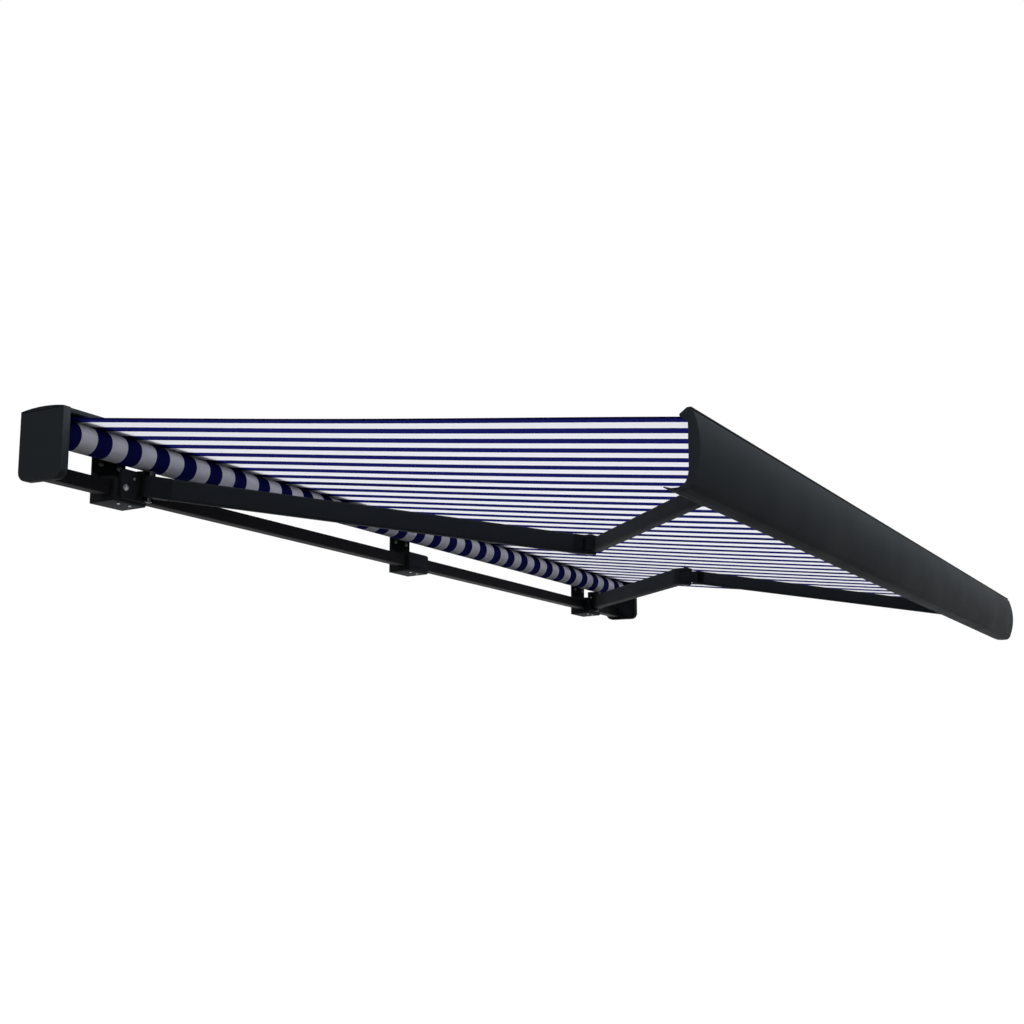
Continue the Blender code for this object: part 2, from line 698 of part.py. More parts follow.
def arm_tube(name, frame, width, height, middle):
    start, end = BLOCK_END + FIT_GAP, TUBE_RUN - BLOCK_END - FIT_GAP
    loops = tube_loops(width, height, middle)
    tube = plate(name, loops, end - start, along_arm(frame, (start + end) / 2))
    return coated(tube)


def spigot(name, frame, start, end, width, height, middle):
    """The part of a casting that sits inside a tube."""
    room = TUBE_WALL + FIT_GAP
    low = (middle - width / 2 + room, -height / 2 + room)
    high = (middle + width / 2 - room, height / 2 - room)
    outline = rounded(low, high, TUBE_CORNER - room, 2)
    return plate(name, [outline], abs(end - start), along_arm(frame, (start + end) / 2))


def pin_hole(name, frame, x, y, gap):
    radius = PIN_RADIUS + gap
    place = frame @ Matrix.Translation((x, y, 0))
    ends = [(0, HOLE_REACH), (radius, HOLE_REACH), (radius, -HOLE_REACH), (0, -HOLE_REACH)]
    return turned(name, ends, place)


def pin(name, frame, x, y, half):
    """A pivot pin with a head on top."""
    top = half + FIT_GAP + PIN_HEAD_HEIGHT
    profile = [(0, top), (PIN_HEAD - 0.0015, top), (PIN_HEAD, top - 0.0015), (PIN_HEAD, half + FIT_GAP)]
    profile += [(PIN_RADIUS, half + FIT_GAP), (PIN_RADIUS, -half - PIN_TAIL), (0, -half - PIN_TAIL)]
    return steel(turned(name, profile, frame @ Matrix.Translation((x, y, 0))))


def eye_outline(x, y, eye, reach, low, high, end):
    """A round eye that tapers to a bar as wide as its tube, so that a folded neighbour lies beside the bar."""
    neck = hull(circle((x, y), eye) + [(reach, low), (reach, high)])
    points = []
    for point, following in zip(neck, neck[1:] + neck[:1]):
        points.append(point)
        if point[0] == following[0] == reach:
            points += [(end, point[1]), (end, following[1])]
    return points


def knuckle(name, frame, x, y, eye, half_eye, start, width, height, middle, toward, gap):
    """A casting with one eye at (x, y) and a block that plugs into a tube lying toward +X or -X of it."""
    reach = x + toward * start
    end = BLOCK_END if toward > 0 else TUBE_RUN - BLOCK_END
    low, high = middle - width / 2, middle + width / 2
    slim = plate(name, [eye_outline(x, y, eye, reach, low, high, end)], 2 * half_eye, frame)
    if half_eye < height / 2 - FIT_GAP:
        first, last = sorted((reach + toward * BLOCK_SETBACK, end))
        outline = rounded((first, low), (last, high), BLOCK_CHAMFER, 1)
        join(slim, plate(name + "_block", [outline], height, frame))
    inside = end + toward * SPIGOT_LENGTH
    join(slim, spigot(name + "_spigot", frame, end - toward * 0.01, inside, width, height, middle))
    cut(slim, pin_hole(name + "_hole", frame, x, y, gap))
    return cast(slim)


def make_arm(side, way, bar_pivot):
    """One folding arm from its shoulder bracket to its wrist bracket."""
    out = -way
    bearing = out * (BEND + OFFSET_ANGLE)
    shoulder = Vector((way * SHOULDER_X, SHOULDER_Y, SHOULDER_Z))
    upper = arm_frame(shoulder, bearing)
    elbow = upper @ Vector((TUBE_RUN, -out * ARM_OFFSET, 0))
    lower = arm_frame(elbow, -bearing)
    wrist = lower @ Vector((TUBE_RUN, out * ARM_OFFSET, 0))
    make_shoulder(side, way, shoulder)
    turning = pivot(f"shoulder_pivot_{side}", upper)
    eye = knuckle(
        f"shoulder_knuckle_{side}", upper, 0, 0, SHOULDER_EYE, UPPER_HEIGHT / 2,
        SHOULDER_START, UPPER_WIDTH, UPPER_HEIGHT, 0, 1, FIT_GAP,
    )
    carried(eye, turning)
    carried(arm_tube(f"upper_arm_{side}", upper, UPPER_WIDTH, UPPER_HEIGHT, 0), turning)
    carried(make_spring(side, upper), turning)
    carried(make_elbow_fork(side, upper, out), turning)
    axle = pin(f"elbow_pin_{side}", upper, TUBE_RUN, -out * ARM_OFFSET, UPPER_HEIGHT / 2)
    carried(axle, turning)
    turning = pivot(f"elbow_pivot_{side}", lower)
    middle = out * ARM_OFFSET
    eye = knuckle(
        f"elbow_knuckle_{side}", lower, 0, 0, ELBOW_EYE, ELBOW_SLOT - PIVOT_GAP,
        ELBOW_START, FOREARM_WIDTH, FOREARM_HEIGHT, middle, 1, FIT_GAP,
    )
    carried(eye, turning)
    carried(arm_tube(f"forearm_{side}", lower, FOREARM_WIDTH, FOREARM_HEIGHT, middle), turning)
    open_gap = FIT_GAP if way < 0 else FIT_GAP * 3
    eye = knuckle(
        f"wrist_knuckle_{side}", lower, TUBE_RUN, middle, WRIST_EYE, WRIST_SLOT - PIVOT_GAP,
        WRIST_START, FOREARM_WIDTH, FOREARM_HEIGHT, middle, -1, open_gap,
    )
    carried(eye, turning)
    make_wrist_bracket(side, wrist, bar_pivot)


def make_shoulder(side, way, shoulder):
    """The shoulder bracket bolted in front of the bar clamp, its pin and its pitch bolt."""
    name = f"shoulder_bracket_{side}"
    frame = arm_frame(shoulder, 0)
    half = SHOULDER_SLOT + SHOULDER_LUG_HEIGHT
    face = CLAMP_FRONT - FIT_GAP
    base_x = sorted((shoulder.x + way * SHOULDER_BASE_OUT, shoulder.x - way * SHOULDER_BASE_IN))
    low = (base_x[0], face - SHOULDER_BASE, shoulder.z - half)
    high = (base_x[1], face, shoulder.z + half)
    base = box(name, low, high)
    rear = shoulder.y - face
    outline = hull(circle((0, 0), SHOULDER_LUG) + [(rear, -SHOULDER_LUG), (rear, SHOULDER_LUG)])
    lugs = plate(name + "_lugs", [outline], 2 * half, frame)
    join(base, lugs)
    room = SHOULDER_SLOT
    gap_low = (rear + SHOULDER_BASE + SLOT_ROOM, -CUT_REACH, -room)
    cut(base, box(name + "_slot", gap_low, (CUT_REACH, CUT_REACH, room), frame))
    trim_low = (low[0] - CUT_REACH, face, low[2] - CUT_REACH)
    trim_high = (high[0] + CUT_REACH, face + CUT_REACH, high[2] + CUT_REACH)
    cut(base, box(name + "_trim", trim_low, trim_high))
    cut(base, pin_hole(name + "_hole", frame, 0, 0, FIT_GAP))
    cast(base)
    pin(f"shoulder_pin_{side}", frame, 0, 0, half)
    bolt_x = shoulder.x + way * (SHOULDER_BASE_OUT - PITCH_BOLT_RADIUS - 0.012)
    seat = -face + SHOULDER_BASE + FIT_GAP
    top = seat + PITCH_BOLT_HEIGHT
    chamfer = PITCH_BOLT_CHAMFER
    profile = [(0, top), (PITCH_BOLT_RADIUS - chamfer, top), (PITCH_BOLT_RADIUS, top - chamfer)]
    profile += [(PITCH_BOLT_RADIUS, seat), (0, seat)]
    place = bolt_frame(bolt_x, 0, shoulder.z - PITCH_BOLT_DROP)
    steel(turned(f"pitch_bolt_{side}", profile, place, 16))


def make_elbow_fork(side, upper, out):
    """The casting at the end of the upper arm, with a lug above and one below the forearm's eye."""
    name = f"elbow_fork_{side}"
    y = -out * ARM_OFFSET
    fork = knuckle(
        name, upper, TUBE_RUN, y, ELBOW_LUG, UPPER_HEIGHT / 2,
        ELBOW_START, UPPER_WIDTH, UPPER_HEIGHT, 0, -1, FIT_GAP,
    )
    low = (TUBE_RUN - ELBOW_START + SLOT_ROOM, y - CUT_REACH, -ELBOW_SLOT)
    high = (TUBE_RUN + CUT_REACH, y + CUT_REACH, ELBOW_SLOT)
    return cut(fork, box(name + "_slot", low, high, upper))


def make_wrist_bracket(side, wrist, bar_pivot):
    """The bracket inside the front bar that holds the forearm's end between two lugs, and its pin."""
    name = f"wrist_bracket_{side}"
    frame = arm_frame(wrist, 0)
    half = WRIST_SLOT + WRIST_LUG_HEIGHT
    side_reach = WRIST_LUG + WRIST_NECK
    front, rear = side_reach + WRIST_BASE_DEPTH, WRIST_TO_WEB - WRIST_BASE
    sides = [(front, -side_reach), (front, side_reach), (rear, side_reach), (rear, -side_reach)]
    bracket = plate(name, [hull(circle((0, 0), WRIST_LUG) + sides)], 2 * half, frame)
    slot_low, slot_high = (-CUT_REACH, -CUT_REACH, -WRIST_SLOT), (rear, CUT_REACH, WRIST_SLOT)
    cut(bracket, box(name + "_slot", slot_low, slot_high, frame))
    face = FRONT_BAR_WEB_Y + FIT_GAP
    low = (wrist.x - HOLE_REACH, face - HOLE_REACH, wrist.z - HOLE_REACH)
    high = (wrist.x + HOLE_REACH, face, wrist.z + HOLE_REACH)
    cut(bracket, box(name + "_trim", low, high))
    cut(bracket, pin_hole(name + "_hole", frame, 0, 0, FIT_GAP))
    carried(cast(bracket), bar_pivot)
    carried(pin(f"wrist_pin_{side}", frame, 0, 0, half), bar_pivot)


def make_spring(side, upper):
    """The tension spring in the upper arm, a ridged rod between the two castings."""
    start = BLOCK_END + SPIGOT_LENGTH + FIT_GAP
    end = TUBE_RUN - start
    first = start + (end - start) * SPRING_END_SHARE
    last = start + (end - start) * SPRING_START_SHARE
    ridge = (last - first) / SPRING_RIDGES
    profile = [(0, end), (SPRING_ROD, end), (SPRING_ROD, first)]
    for i in range(SPRING_RIDGES):
        z = first + ridge * (i + 0.5)
        profile += [(SPRING_RADIUS, z), (SPRING_RADIUS - SPRING_WIRE, z + ridge / 2)]
    profile += [(SPRING_CHAIN, last), (SPRING_CHAIN, start), (0, start)]
    turn = Matrix(((0, 0, 1), (0, 1, 0), (-1, 0, 0))).to_4x4()
    return steel(turned(f"arm_spring_{side}", profile, upper @ turn, 8))


make_hood()
make_torsion_bar()
for label, place in (("left", -BRACKET_SPACING), ("centre", 0), ("right", BRACKET_SPACING)):
    make_bracket(label, place)
make_roller()
front_pivot = make_front_bar()
for label, direction in SIDES.items():
    make_cap(label, direction)
    make_arm(label, direction, front_pivot)
make_cloth()
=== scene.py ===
# %% [markdown]
# # A cassette awning with folding arms
#
# The real object hangs on a house wall. A slim aluminium hood covers a fabric roller, a square torsion bar
# carries two folding arms, and the arms push a deep front bar outward so that striped cloth is stretched
# between roller and bar. This lesson dresses a finished construction model: every size comes from it, and
# the work here is on surfaces and finishes.

import json
import math

import bmesh
import bpy
import numpy as np
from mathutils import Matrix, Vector


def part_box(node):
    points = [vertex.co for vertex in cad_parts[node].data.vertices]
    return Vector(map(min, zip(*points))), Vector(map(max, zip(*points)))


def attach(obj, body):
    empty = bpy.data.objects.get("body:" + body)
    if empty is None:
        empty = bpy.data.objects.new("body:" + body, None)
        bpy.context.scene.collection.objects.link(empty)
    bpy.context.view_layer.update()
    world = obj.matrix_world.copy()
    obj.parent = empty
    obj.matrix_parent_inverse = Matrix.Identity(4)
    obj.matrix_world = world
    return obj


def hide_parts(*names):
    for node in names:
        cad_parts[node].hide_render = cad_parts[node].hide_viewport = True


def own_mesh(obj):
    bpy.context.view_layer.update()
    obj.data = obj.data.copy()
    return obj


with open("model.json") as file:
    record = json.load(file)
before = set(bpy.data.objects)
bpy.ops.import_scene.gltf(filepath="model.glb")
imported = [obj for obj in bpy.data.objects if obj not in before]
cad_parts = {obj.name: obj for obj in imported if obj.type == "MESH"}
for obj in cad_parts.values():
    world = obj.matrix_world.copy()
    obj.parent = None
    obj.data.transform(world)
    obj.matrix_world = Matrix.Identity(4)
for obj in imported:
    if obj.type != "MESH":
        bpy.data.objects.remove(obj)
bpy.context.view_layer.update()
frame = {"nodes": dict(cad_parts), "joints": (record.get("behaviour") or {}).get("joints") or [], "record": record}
joints = {joint["name"]: joint for joint in frame["joints"]}


def extent(node):
    """The middle of a solid's box and half its size, both as (X, Y, Z)."""
    low, high = np.array(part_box(node))
    return (low + high) / 2, (high - low) / 2


def shown(name, data):
    """An object that is part of the scene."""
    made = bpy.data.objects.new(name, data)
    bpy.context.scene.collection.objects.link(made)
    return made


# %% [markdown]
# ## The camera
#
# The picture is taken from below and from outside the near end, so the underside of the cloth and both arms
# show. A camera can be placed by eye, but here it was solved from the vanishing points of the long edges,
# which gives one place, one tilt and one focal length, with no lens shift.

# %% Place the camera
CAMERA_PLACE = (-6.3306, -3.8259, -1.112)
CAMERA_TILT = math.radians(9.951)
CAMERA_HEADING = math.radians(26.944)
FOCAL_LENGTH_PIXELS = 1556
PICTURE_WIDTH_PIXELS = 1024
SENSOR_WIDTH = 36.0
FARTHEST_VIEW = 200

camera = shown("camera", bpy.data.cameras.new("camera"))
camera.location = CAMERA_PLACE
camera.rotation_euler = (math.pi / 2 + CAMERA_TILT, 0, CAMERA_HEADING - math.pi / 2)
camera.data.sensor_width = SENSOR_WIDTH
camera.data.lens = FOCAL_LENGTH_PIXELS / PICTURE_WIDTH_PIXELS * SENSOR_WIDTH
camera.data.clip_end = FARTHEST_VIEW
bpy.context.scene.camera = camera
print("lens:", round(camera.data.lens, 2), "mm")

# %% [markdown]
# ## Surfaces from arrays
#
# Almost every piece here was extruded, cast or turned, so three surface functions are enough. Each works
# out whole arrays of points at once: a flat outline carried through a thickness, a profile turned about an
# axis, and an open sheet over a grid. Modelling by hand would do as well, but a formula keeps each edge
# radius the same all over the object.

# %% Turn arrays into a mesh
def unit(vectors):
    """Vectors of length one: each is divided by its own length."""
    return vectors / np.linalg.norm(vectors, axis=-1, keepdims=True)


def band_faces(rings, around, closed=True):
    """Four-cornered faces between rings of points: corner numbers are ring times around, plus place."""
    last = around if closed else around - 1
    ring, place = np.meshgrid(np.arange(rings - 1), np.arange(last), indexing="ij")
    following = (place + 1) % around
    corners = [ring * around + place, ring * around + following]
    corners += [(ring + 1) * around + following, (ring + 1) * around + place]
    return np.stack(corners, axis=-1).reshape(-1, 4)


def piece_from(name, points, quads, caps=(), sharp=35):
    """A mesh object from points, four-cornered faces and filled rings."""
    mesh = bpy.data.meshes.new(name)
    corners = np.concatenate([quads.ravel(), *caps]).astype(np.int32)
    sizes = np.array([4] * len(quads) + [len(cap) for cap in caps])
    starts = np.concatenate([[0], np.cumsum(sizes)[:-1]]).astype(np.int32)
    mesh.vertices.add(len(points))
    mesh.vertices.foreach_set("co", np.ascontiguousarray(points, np.float32).ravel())
    mesh.loops.add(len(corners))
    mesh.loops.foreach_set("vertex_index", corners)
    mesh.polygons.add(len(sizes))
    mesh.polygons.foreach_set("loop_start", starts)
    mesh.update(calc_edges=True)
    mesh.validate()
    mesh.shade_smooth()
    mesh.set_sharp_from_angle(angle=math.radians(sharp))
    return shown(name, mesh)


print("one ring of eight joined to the next:", len(band_faces(2, 8)), "faces")

# %% Outlines with rounded corners
def rounded(corners, radii, steps=6):
    """A closed outline with round corners.

    At each corner an arc touches both sides: it starts radius / tan(half the inner angle) before the
    corner, its centre lies on the bisector, and it turns by half a turn less the inner angle."""
    here = np.array(corners, float)
    size = np.broadcast_to(np.asarray(radii, float), len(here)).clip(1e-4)
    before = unit(np.roll(here, 1, axis=0) - here)
    after = unit(np.roll(here, -1, axis=0) - here)
    inner = np.arccos(np.clip((before * after).sum(1), -0.9999, 0.9999))
    start = here + before * (size / np.tan(inner / 2))[:, None]
    centre = here + unit(before + after) * (size / np.sin(inner / 2))[:, None]
    way = np.sign(before[:, 1] * after[:, 0] - before[:, 0] * after[:, 1])
    turn = (way * (np.pi - inner))[:, None] * np.linspace(0, 1, steps + 1)
    arm = start - centre
    x = centre[:, :1] + arm[:, :1] * np.cos(turn) - arm[:, 1:] * np.sin(turn)
    y = centre[:, 1:] + arm[:, :1] * np.sin(turn) + arm[:, 1:] * np.cos(turn)
    return np.stack([x, y], axis=-1).reshape(-1, 2)


def even_angles(steps):
    """Directions spaced evenly round the circle."""
    return np.arange(steps) * 2 * np.pi / steps


def circle_points(angle):
    """Points of the unit circle: the cosine and sine of each angle."""
    return np.stack([np.cos(angle), np.sin(angle)], axis=-1)


def ring_points(radius, steps, centre=(0, 0)):
    """A circle: centre plus radius times the unit circle."""
    return np.array(centre) + radius * circle_points(even_angles(steps))


def rectangle(middle, half):
    """Four corners at plus and minus half a side from the middle, half being one number or a pair."""
    return np.array([(-1, -1), (1, -1), (1, 1), (-1, 1)]) * half + middle


def mitre(behind, ahead, least):
    """Sideways directions at the bends of a line, grown so that both straight parts move equally far."""
    left, left_ahead = (np.stack([-way[:, 1], way[:, 0]], axis=-1) for way in (unit(behind + ahead), ahead))
    return left / (left * left_ahead).sum(1, keepdims=True).clip(least)


def inward(outline):
    """The mitred inward direction at each point of an anticlockwise outline."""
    step = unit(np.roll(outline, -1, axis=0) - outline)
    return mitre(np.roll(step, 1, axis=0), step, 0.5)


def anticlockwise(outline):
    """The outline turned round if its signed area, half the sum of cross products, is negative."""
    following = np.roll(outline, -1, axis=0)
    area = (outline[:, 0] * following[:, 1] - outline[:, 1] * following[:, 0]).sum() / 2
    return outline if area > 0 else outline[::-1]


print("a rounded square has", len(rounded(rectangle((0, 0), 0.5), 0.1)), "points")

# %% Plates, bars and castings
GAP, RIM_STEPS = 0.0003, 4
MM = 0.001


def section_place(x=0.0):
    """The placing matrix for outlines in (Y, Z) with their thickness along X."""
    return np.array([[0, 0, 1, x], [1, 0, 0, 0], [0, 1, 0, 0], [0, 0, 0, 1.0]])


def placed(points, place):
    """Points moved by a placing matrix: rotation times point, plus its last column."""
    return points @ place[:3, :3].T + place[:3, 3]


def rim_stations(low, high, fillet):
    """Rings from the lower face to the upper one as (inset, height).

    Each rim is a quarter turn: the inset is fillet * (1 - sin t) and the height moves by fillet * (1 - cos t)
    towards the middle, with t from 0 at the flat face to a quarter turn at the side."""
    first, last = np.broadcast_to(np.asarray(fillet, float), 2).clip(1e-5)
    t = np.linspace(0, np.pi / 2, RIM_STEPS + 1)
    below = np.stack([first * (1 - np.sin(t)), low + first * (1 - np.cos(t))], axis=-1)
    above = np.stack([last * (1 - np.sin(t)), high - last * (1 - np.cos(t))], axis=-1)
    return np.concatenate([below, above[::-1]])


def stacked(name, rings, place):
    """Rings of points joined in order, with a flat face over the first and the last."""
    count, around = rings.shape[:2]
    caps = (np.arange(around)[::-1], (count - 1) * around + np.arange(around))
    return piece_from(name, placed(rings.reshape(-1, 3), place), band_faces(count, around), caps)


def lofted(name, outline, stations, place):
    """The outline repeated as rings, each moved in and raised as its station says."""
    outline, stations = anticlockwise(np.asarray(outline, float)), np.asarray(stations, float)
    flat = outline[None] + inward(outline)[None] * stations[:, :1, None]
    heights = np.broadcast_to(stations[:, 1:, None], flat.shape[:2] + (1,))
    return stacked(name, np.concatenate([flat, heights], axis=-1), place)


def soft_plate(name, outline, low, high, fillet, place=section_place()):
    """A plate of an outline between two heights, with one fillet for both rims or one for each."""
    return lofted(name, outline, rim_stations(low, high, fillet), place)


def joined(name, pieces):
    """Several pieces made one mesh."""
    shape = bmesh.new()
    for piece in pieces:
        shape.from_mesh(piece.data)
        bpy.data.objects.remove(piece)
    mesh = bpy.data.meshes.new(name)
    shape.to_mesh(mesh)
    shape.free()
    return shown(name, mesh)


def spun(profile, steps):
    """Rings about the height axis: each (radius, height) is a circle of that radius at that height."""
    radius, height = np.array(profile, float).T[..., None]
    across = radius.clip(1e-5)[..., None] * circle_points(even_angles(steps))
    return np.concatenate([across, np.broadcast_to(height[..., None], across.shape[:2] + (1,))], axis=-1)


def turned(name, profile, place, base=0.0, steps=40):
    """A round solid: a profile in millimetres over the base's height, turned about the height axis."""
    return stacked(name, spun(np.array(profile) * MM + [0, base], steps), place)


def sheet_surface(name, points, uv=None):
    """An open sheet over a grid of points, with its own map if one is given."""
    rows, columns = points.shape[:2]
    made = piece_from(name, points.reshape(-1, 3), band_faces(rows, columns, closed=False), sharp=60)
    if uv is not None:
        layer = made.data.uv_layers.new(name="cloth")
        corner = np.empty(len(made.data.loops), np.int32)
        made.data.loops.foreach_get("vertex_index", corner)
        layer.data.foreach_set("uv", uv.reshape(-1, 2)[corner].astype(np.float32).ravel())
    return made


print("plates, turned pieces and sheets ready")

# %% [markdown]
# ## Finishes
#
# Four finishes make up the object: powder coat, plain metal, moulded plastic and woven cloth. Powder coat
# could be one dark colour, but a real one has a fine orange-peel relief and a faint unevenness of gloss, so
# those two effects are a group that every coated piece shares with its own values. The stripes are dyed
# yarns, so they are worked out from the place across the cloth and run without a break from the roll to the
# front bar.

# %% Small helpers for node trees
def new_group(name, inputs, outputs):
    """A shader group, what its float inputs {name: value} bring, and its end with {name: socket type}."""
    group = bpy.data.node_groups.new(name, "ShaderNodeTree")
    for label, value in inputs.items():
        socket = group.interface.new_socket(label, in_out="INPUT", socket_type="NodeSocketFloat")
        socket.default_value = value
    for label, kind in outputs.items():
        group.interface.new_socket(label, in_out="OUTPUT", socket_type=kind)
    return group, group.nodes.new("NodeGroupInput").outputs, group.nodes.new("NodeGroupOutput")


def feed(tree, node, values):
    """Each input gets a link if its value is a socket, and otherwise the value itself."""
    for label, value in values.items():
        if isinstance(value, bpy.types.NodeSocket):
            tree.links.new(value, node.inputs[label])
        elif value is not None:
            node.inputs[label].default_value = value


def add_node(tree, kind, values=None, **settings):
    """A node of a kind, first its settings and then its inputs."""
    node = tree.nodes.new("ShaderNode" + kind)
    for setting, value in settings.items():
        setattr(node, setting, value)
    feed(tree, node, values or {})
    return node


def math_node(tree, operation, first, second=None):
    """One step of arithmetic: a socket or a number, then an operation, then another."""
    return add_node(tree, "Math", {0: first, 1: second}, operation=operation).outputs[0]


def noise_node(tree, vector, scale, detail):
    """Soft noise about 0.5, finer with scale and rougher with detail."""
    return add_node(tree, "TexNoise", {"Vector": vector, "Scale": scale, "Detail": detail}).outputs["Fac"]


def scaled(tree, colour, factor):
    """A colour times a number."""
    return add_node(tree, "VectorMath", {0: colour, "Scale": factor}, operation="SCALE").outputs["Vector"]


def new_material(name):
    """A material with its node tree and its surface shader."""
    made = bpy.data.materials.new(name)
    made.use_nodes = True
    return made, made.node_tree, made.node_tree.nodes["Principled BSDF"]


print("node helpers ready")

# %% The shared grain of coated, cast and moulded surfaces
BROAD_SCALE, GRAIN_DEPTH, UNEVENNESS = 5.0, 0.0004, 0.25


def build_grain():
    """Fine bumps for the relief, and broad noise that lightens and roughens the surface a little."""
    outputs = {"Tone": "NodeSocketFloat", "Roughness": "NodeSocketFloat", "Normal": "NodeSocketVector"}
    inputs = {"Grain Scale": 700.0, "Relief": 0.1, "Roughness": 0.5, "Unevenness": 0.1}
    group, given, result = new_group("surface_grain", inputs, outputs)
    place = add_node(group, "TexCoord").outputs["Object"]
    fine = noise_node(group, place, given["Grain Scale"], 3.0)
    broad = noise_node(group, place, BROAD_SCALE, 4.0)
    bump = add_node(group, "Bump", {"Strength": given["Relief"], "Distance": GRAIN_DEPTH, "Height": fine})
    spread = math_node(group, "MULTIPLY", math_node(group, "SUBTRACT", broad, 0.5), given["Unevenness"])
    feed(group, result, {
        "Tone": math_node(group, "ADD", 1.0, spread),
        "Roughness": math_node(group, "ADD", given["Roughness"], spread),
        "Normal": bump.outputs["Normal"],
    })
    return group


grain = build_grain()


def coated(name, colour, roughness, relief, metallic=0.0, scale=700.0, specular=0.5):
    """A grained finish: the colour times the group's tone, with its roughness and normal."""
    made, tree, shader = new_material(name)
    shared = add_node(tree, "Group", {
        "Grain Scale": scale, "Relief": relief, "Roughness": roughness, "Unevenness": UNEVENNESS,
    }, node_tree=grain)
    feed(tree, shader, {
        "Metallic": metallic, "Specular IOR Level": specular,
        "Base Color": scaled(tree, colour, shared.outputs["Tone"]),
        "Roughness": shared.outputs["Roughness"], "Normal": shared.outputs["Normal"],
    })
    return made


graphite = coated("graphite_powder_coat", (0.0310, 0.0360, 0.0415), 0.70, 0.25, specular=0.03)
casting = coated("coated_casting", (0.0190, 0.0215, 0.0245), 0.65, 0.45, scale=450, specular=0.04)
satin_black = coated("satin_black_coat", (0.0085, 0.0085, 0.0095), 0.55, 0.2, specular=0.04)
zinc_steel = coated("zinc_plated_steel", (0.42, 0.43, 0.44), 0.34, 0.15, metallic=1.0, scale=900)
black_steel = coated("blackened_steel", (0.045, 0.046, 0.050), 0.36, 0.15, metallic=1.0, scale=900)
bare_aluminium = coated("mill_aluminium", (0.55, 0.56, 0.58), 0.38, 0.2, metallic=1.0, scale=300)
grey_plastic = coated("grey_moulding", (0.30, 0.31, 0.32), 0.45, 0.3, scale=500)
black_plastic = coated("black_moulding", (0.010, 0.010, 0.011), 0.5, 0.3, scale=500)
brush_pile = coated("brush_pile", (0.012, 0.012, 0.013), 0.9, 1.0, scale=1500)
print("nine grained finishes")

# %% [markdown]
# ## The striped cloth
#
# Awning cloth is plain-woven from dyed yarn. The photo shows 32 navy stripes on white with a navy stripe at
# each edge. An image could carry them, but counting from one edge and taking the remainder of a division
# gives edges that stay sharp at any distance. The weave is a product of two sine waves, one for each
# direction of the threads.

# %% Stripe and weave groups
CLOTH_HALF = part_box("cloth_sheet")[1][0]
STRIPES = 32
NAVY_SHARE = 0.48
STRIPE_PITCH = 2 * CLOTH_HALF / (STRIPES - 1 + NAVY_SHARE)
THREAD_PITCH = 0.0011


def build_stripes():
    """Navy where the remainder of (place + half width) / pitch is below the navy share."""
    inputs = {"Across": 0.0, "Pitch": 0.15, "Share": 0.4}
    group, given, result = new_group("yarn_stripes", inputs, {"Navy": "NodeSocketFloat"})
    turns = math_node(group, "DIVIDE", given["Across"], given["Pitch"])
    rest = math_node(group, "FRACT", turns)
    feed(group, result, {"Navy": math_node(group, "LESS_THAN", rest, given["Share"])})
    return group


def build_weave():
    """Relief is the product of a sine across and a sine along, one wave to two threads."""
    inputs = {"Across": 0.0, "Along": 0.0, "Thread": 0.001}
    group, given, result = new_group("plain_weave", inputs, {"Height": "NodeSocketFloat"})
    waves = []
    for label in ("Across", "Along"):
        turns = math_node(group, "DIVIDE", given[label], given["Thread"])
        waves.append(math_node(group, "SINE", math_node(group, "MULTIPLY", turns, math.pi)))
    feed(group, result, {"Height": math_node(group, "MULTIPLY", *waves)})
    return group


stripes, weave = build_stripes(), build_weave()
print("stripe pitch:", round(STRIPE_PITCH * 1000, 1), "mm")

# %% The cloth material
NAVY = (0.0055, 0.0065, 0.095)
WHITE = (0.83, 0.84, 0.89)
SLUB_SCALE, SLUB_SHARE = 60.0, 0.10
SOIL_SCALE, SOIL_SHARE = 1.3, 0.06
EVEN_TONE, WEAVE_DEPTH = 0.92, 0.0003


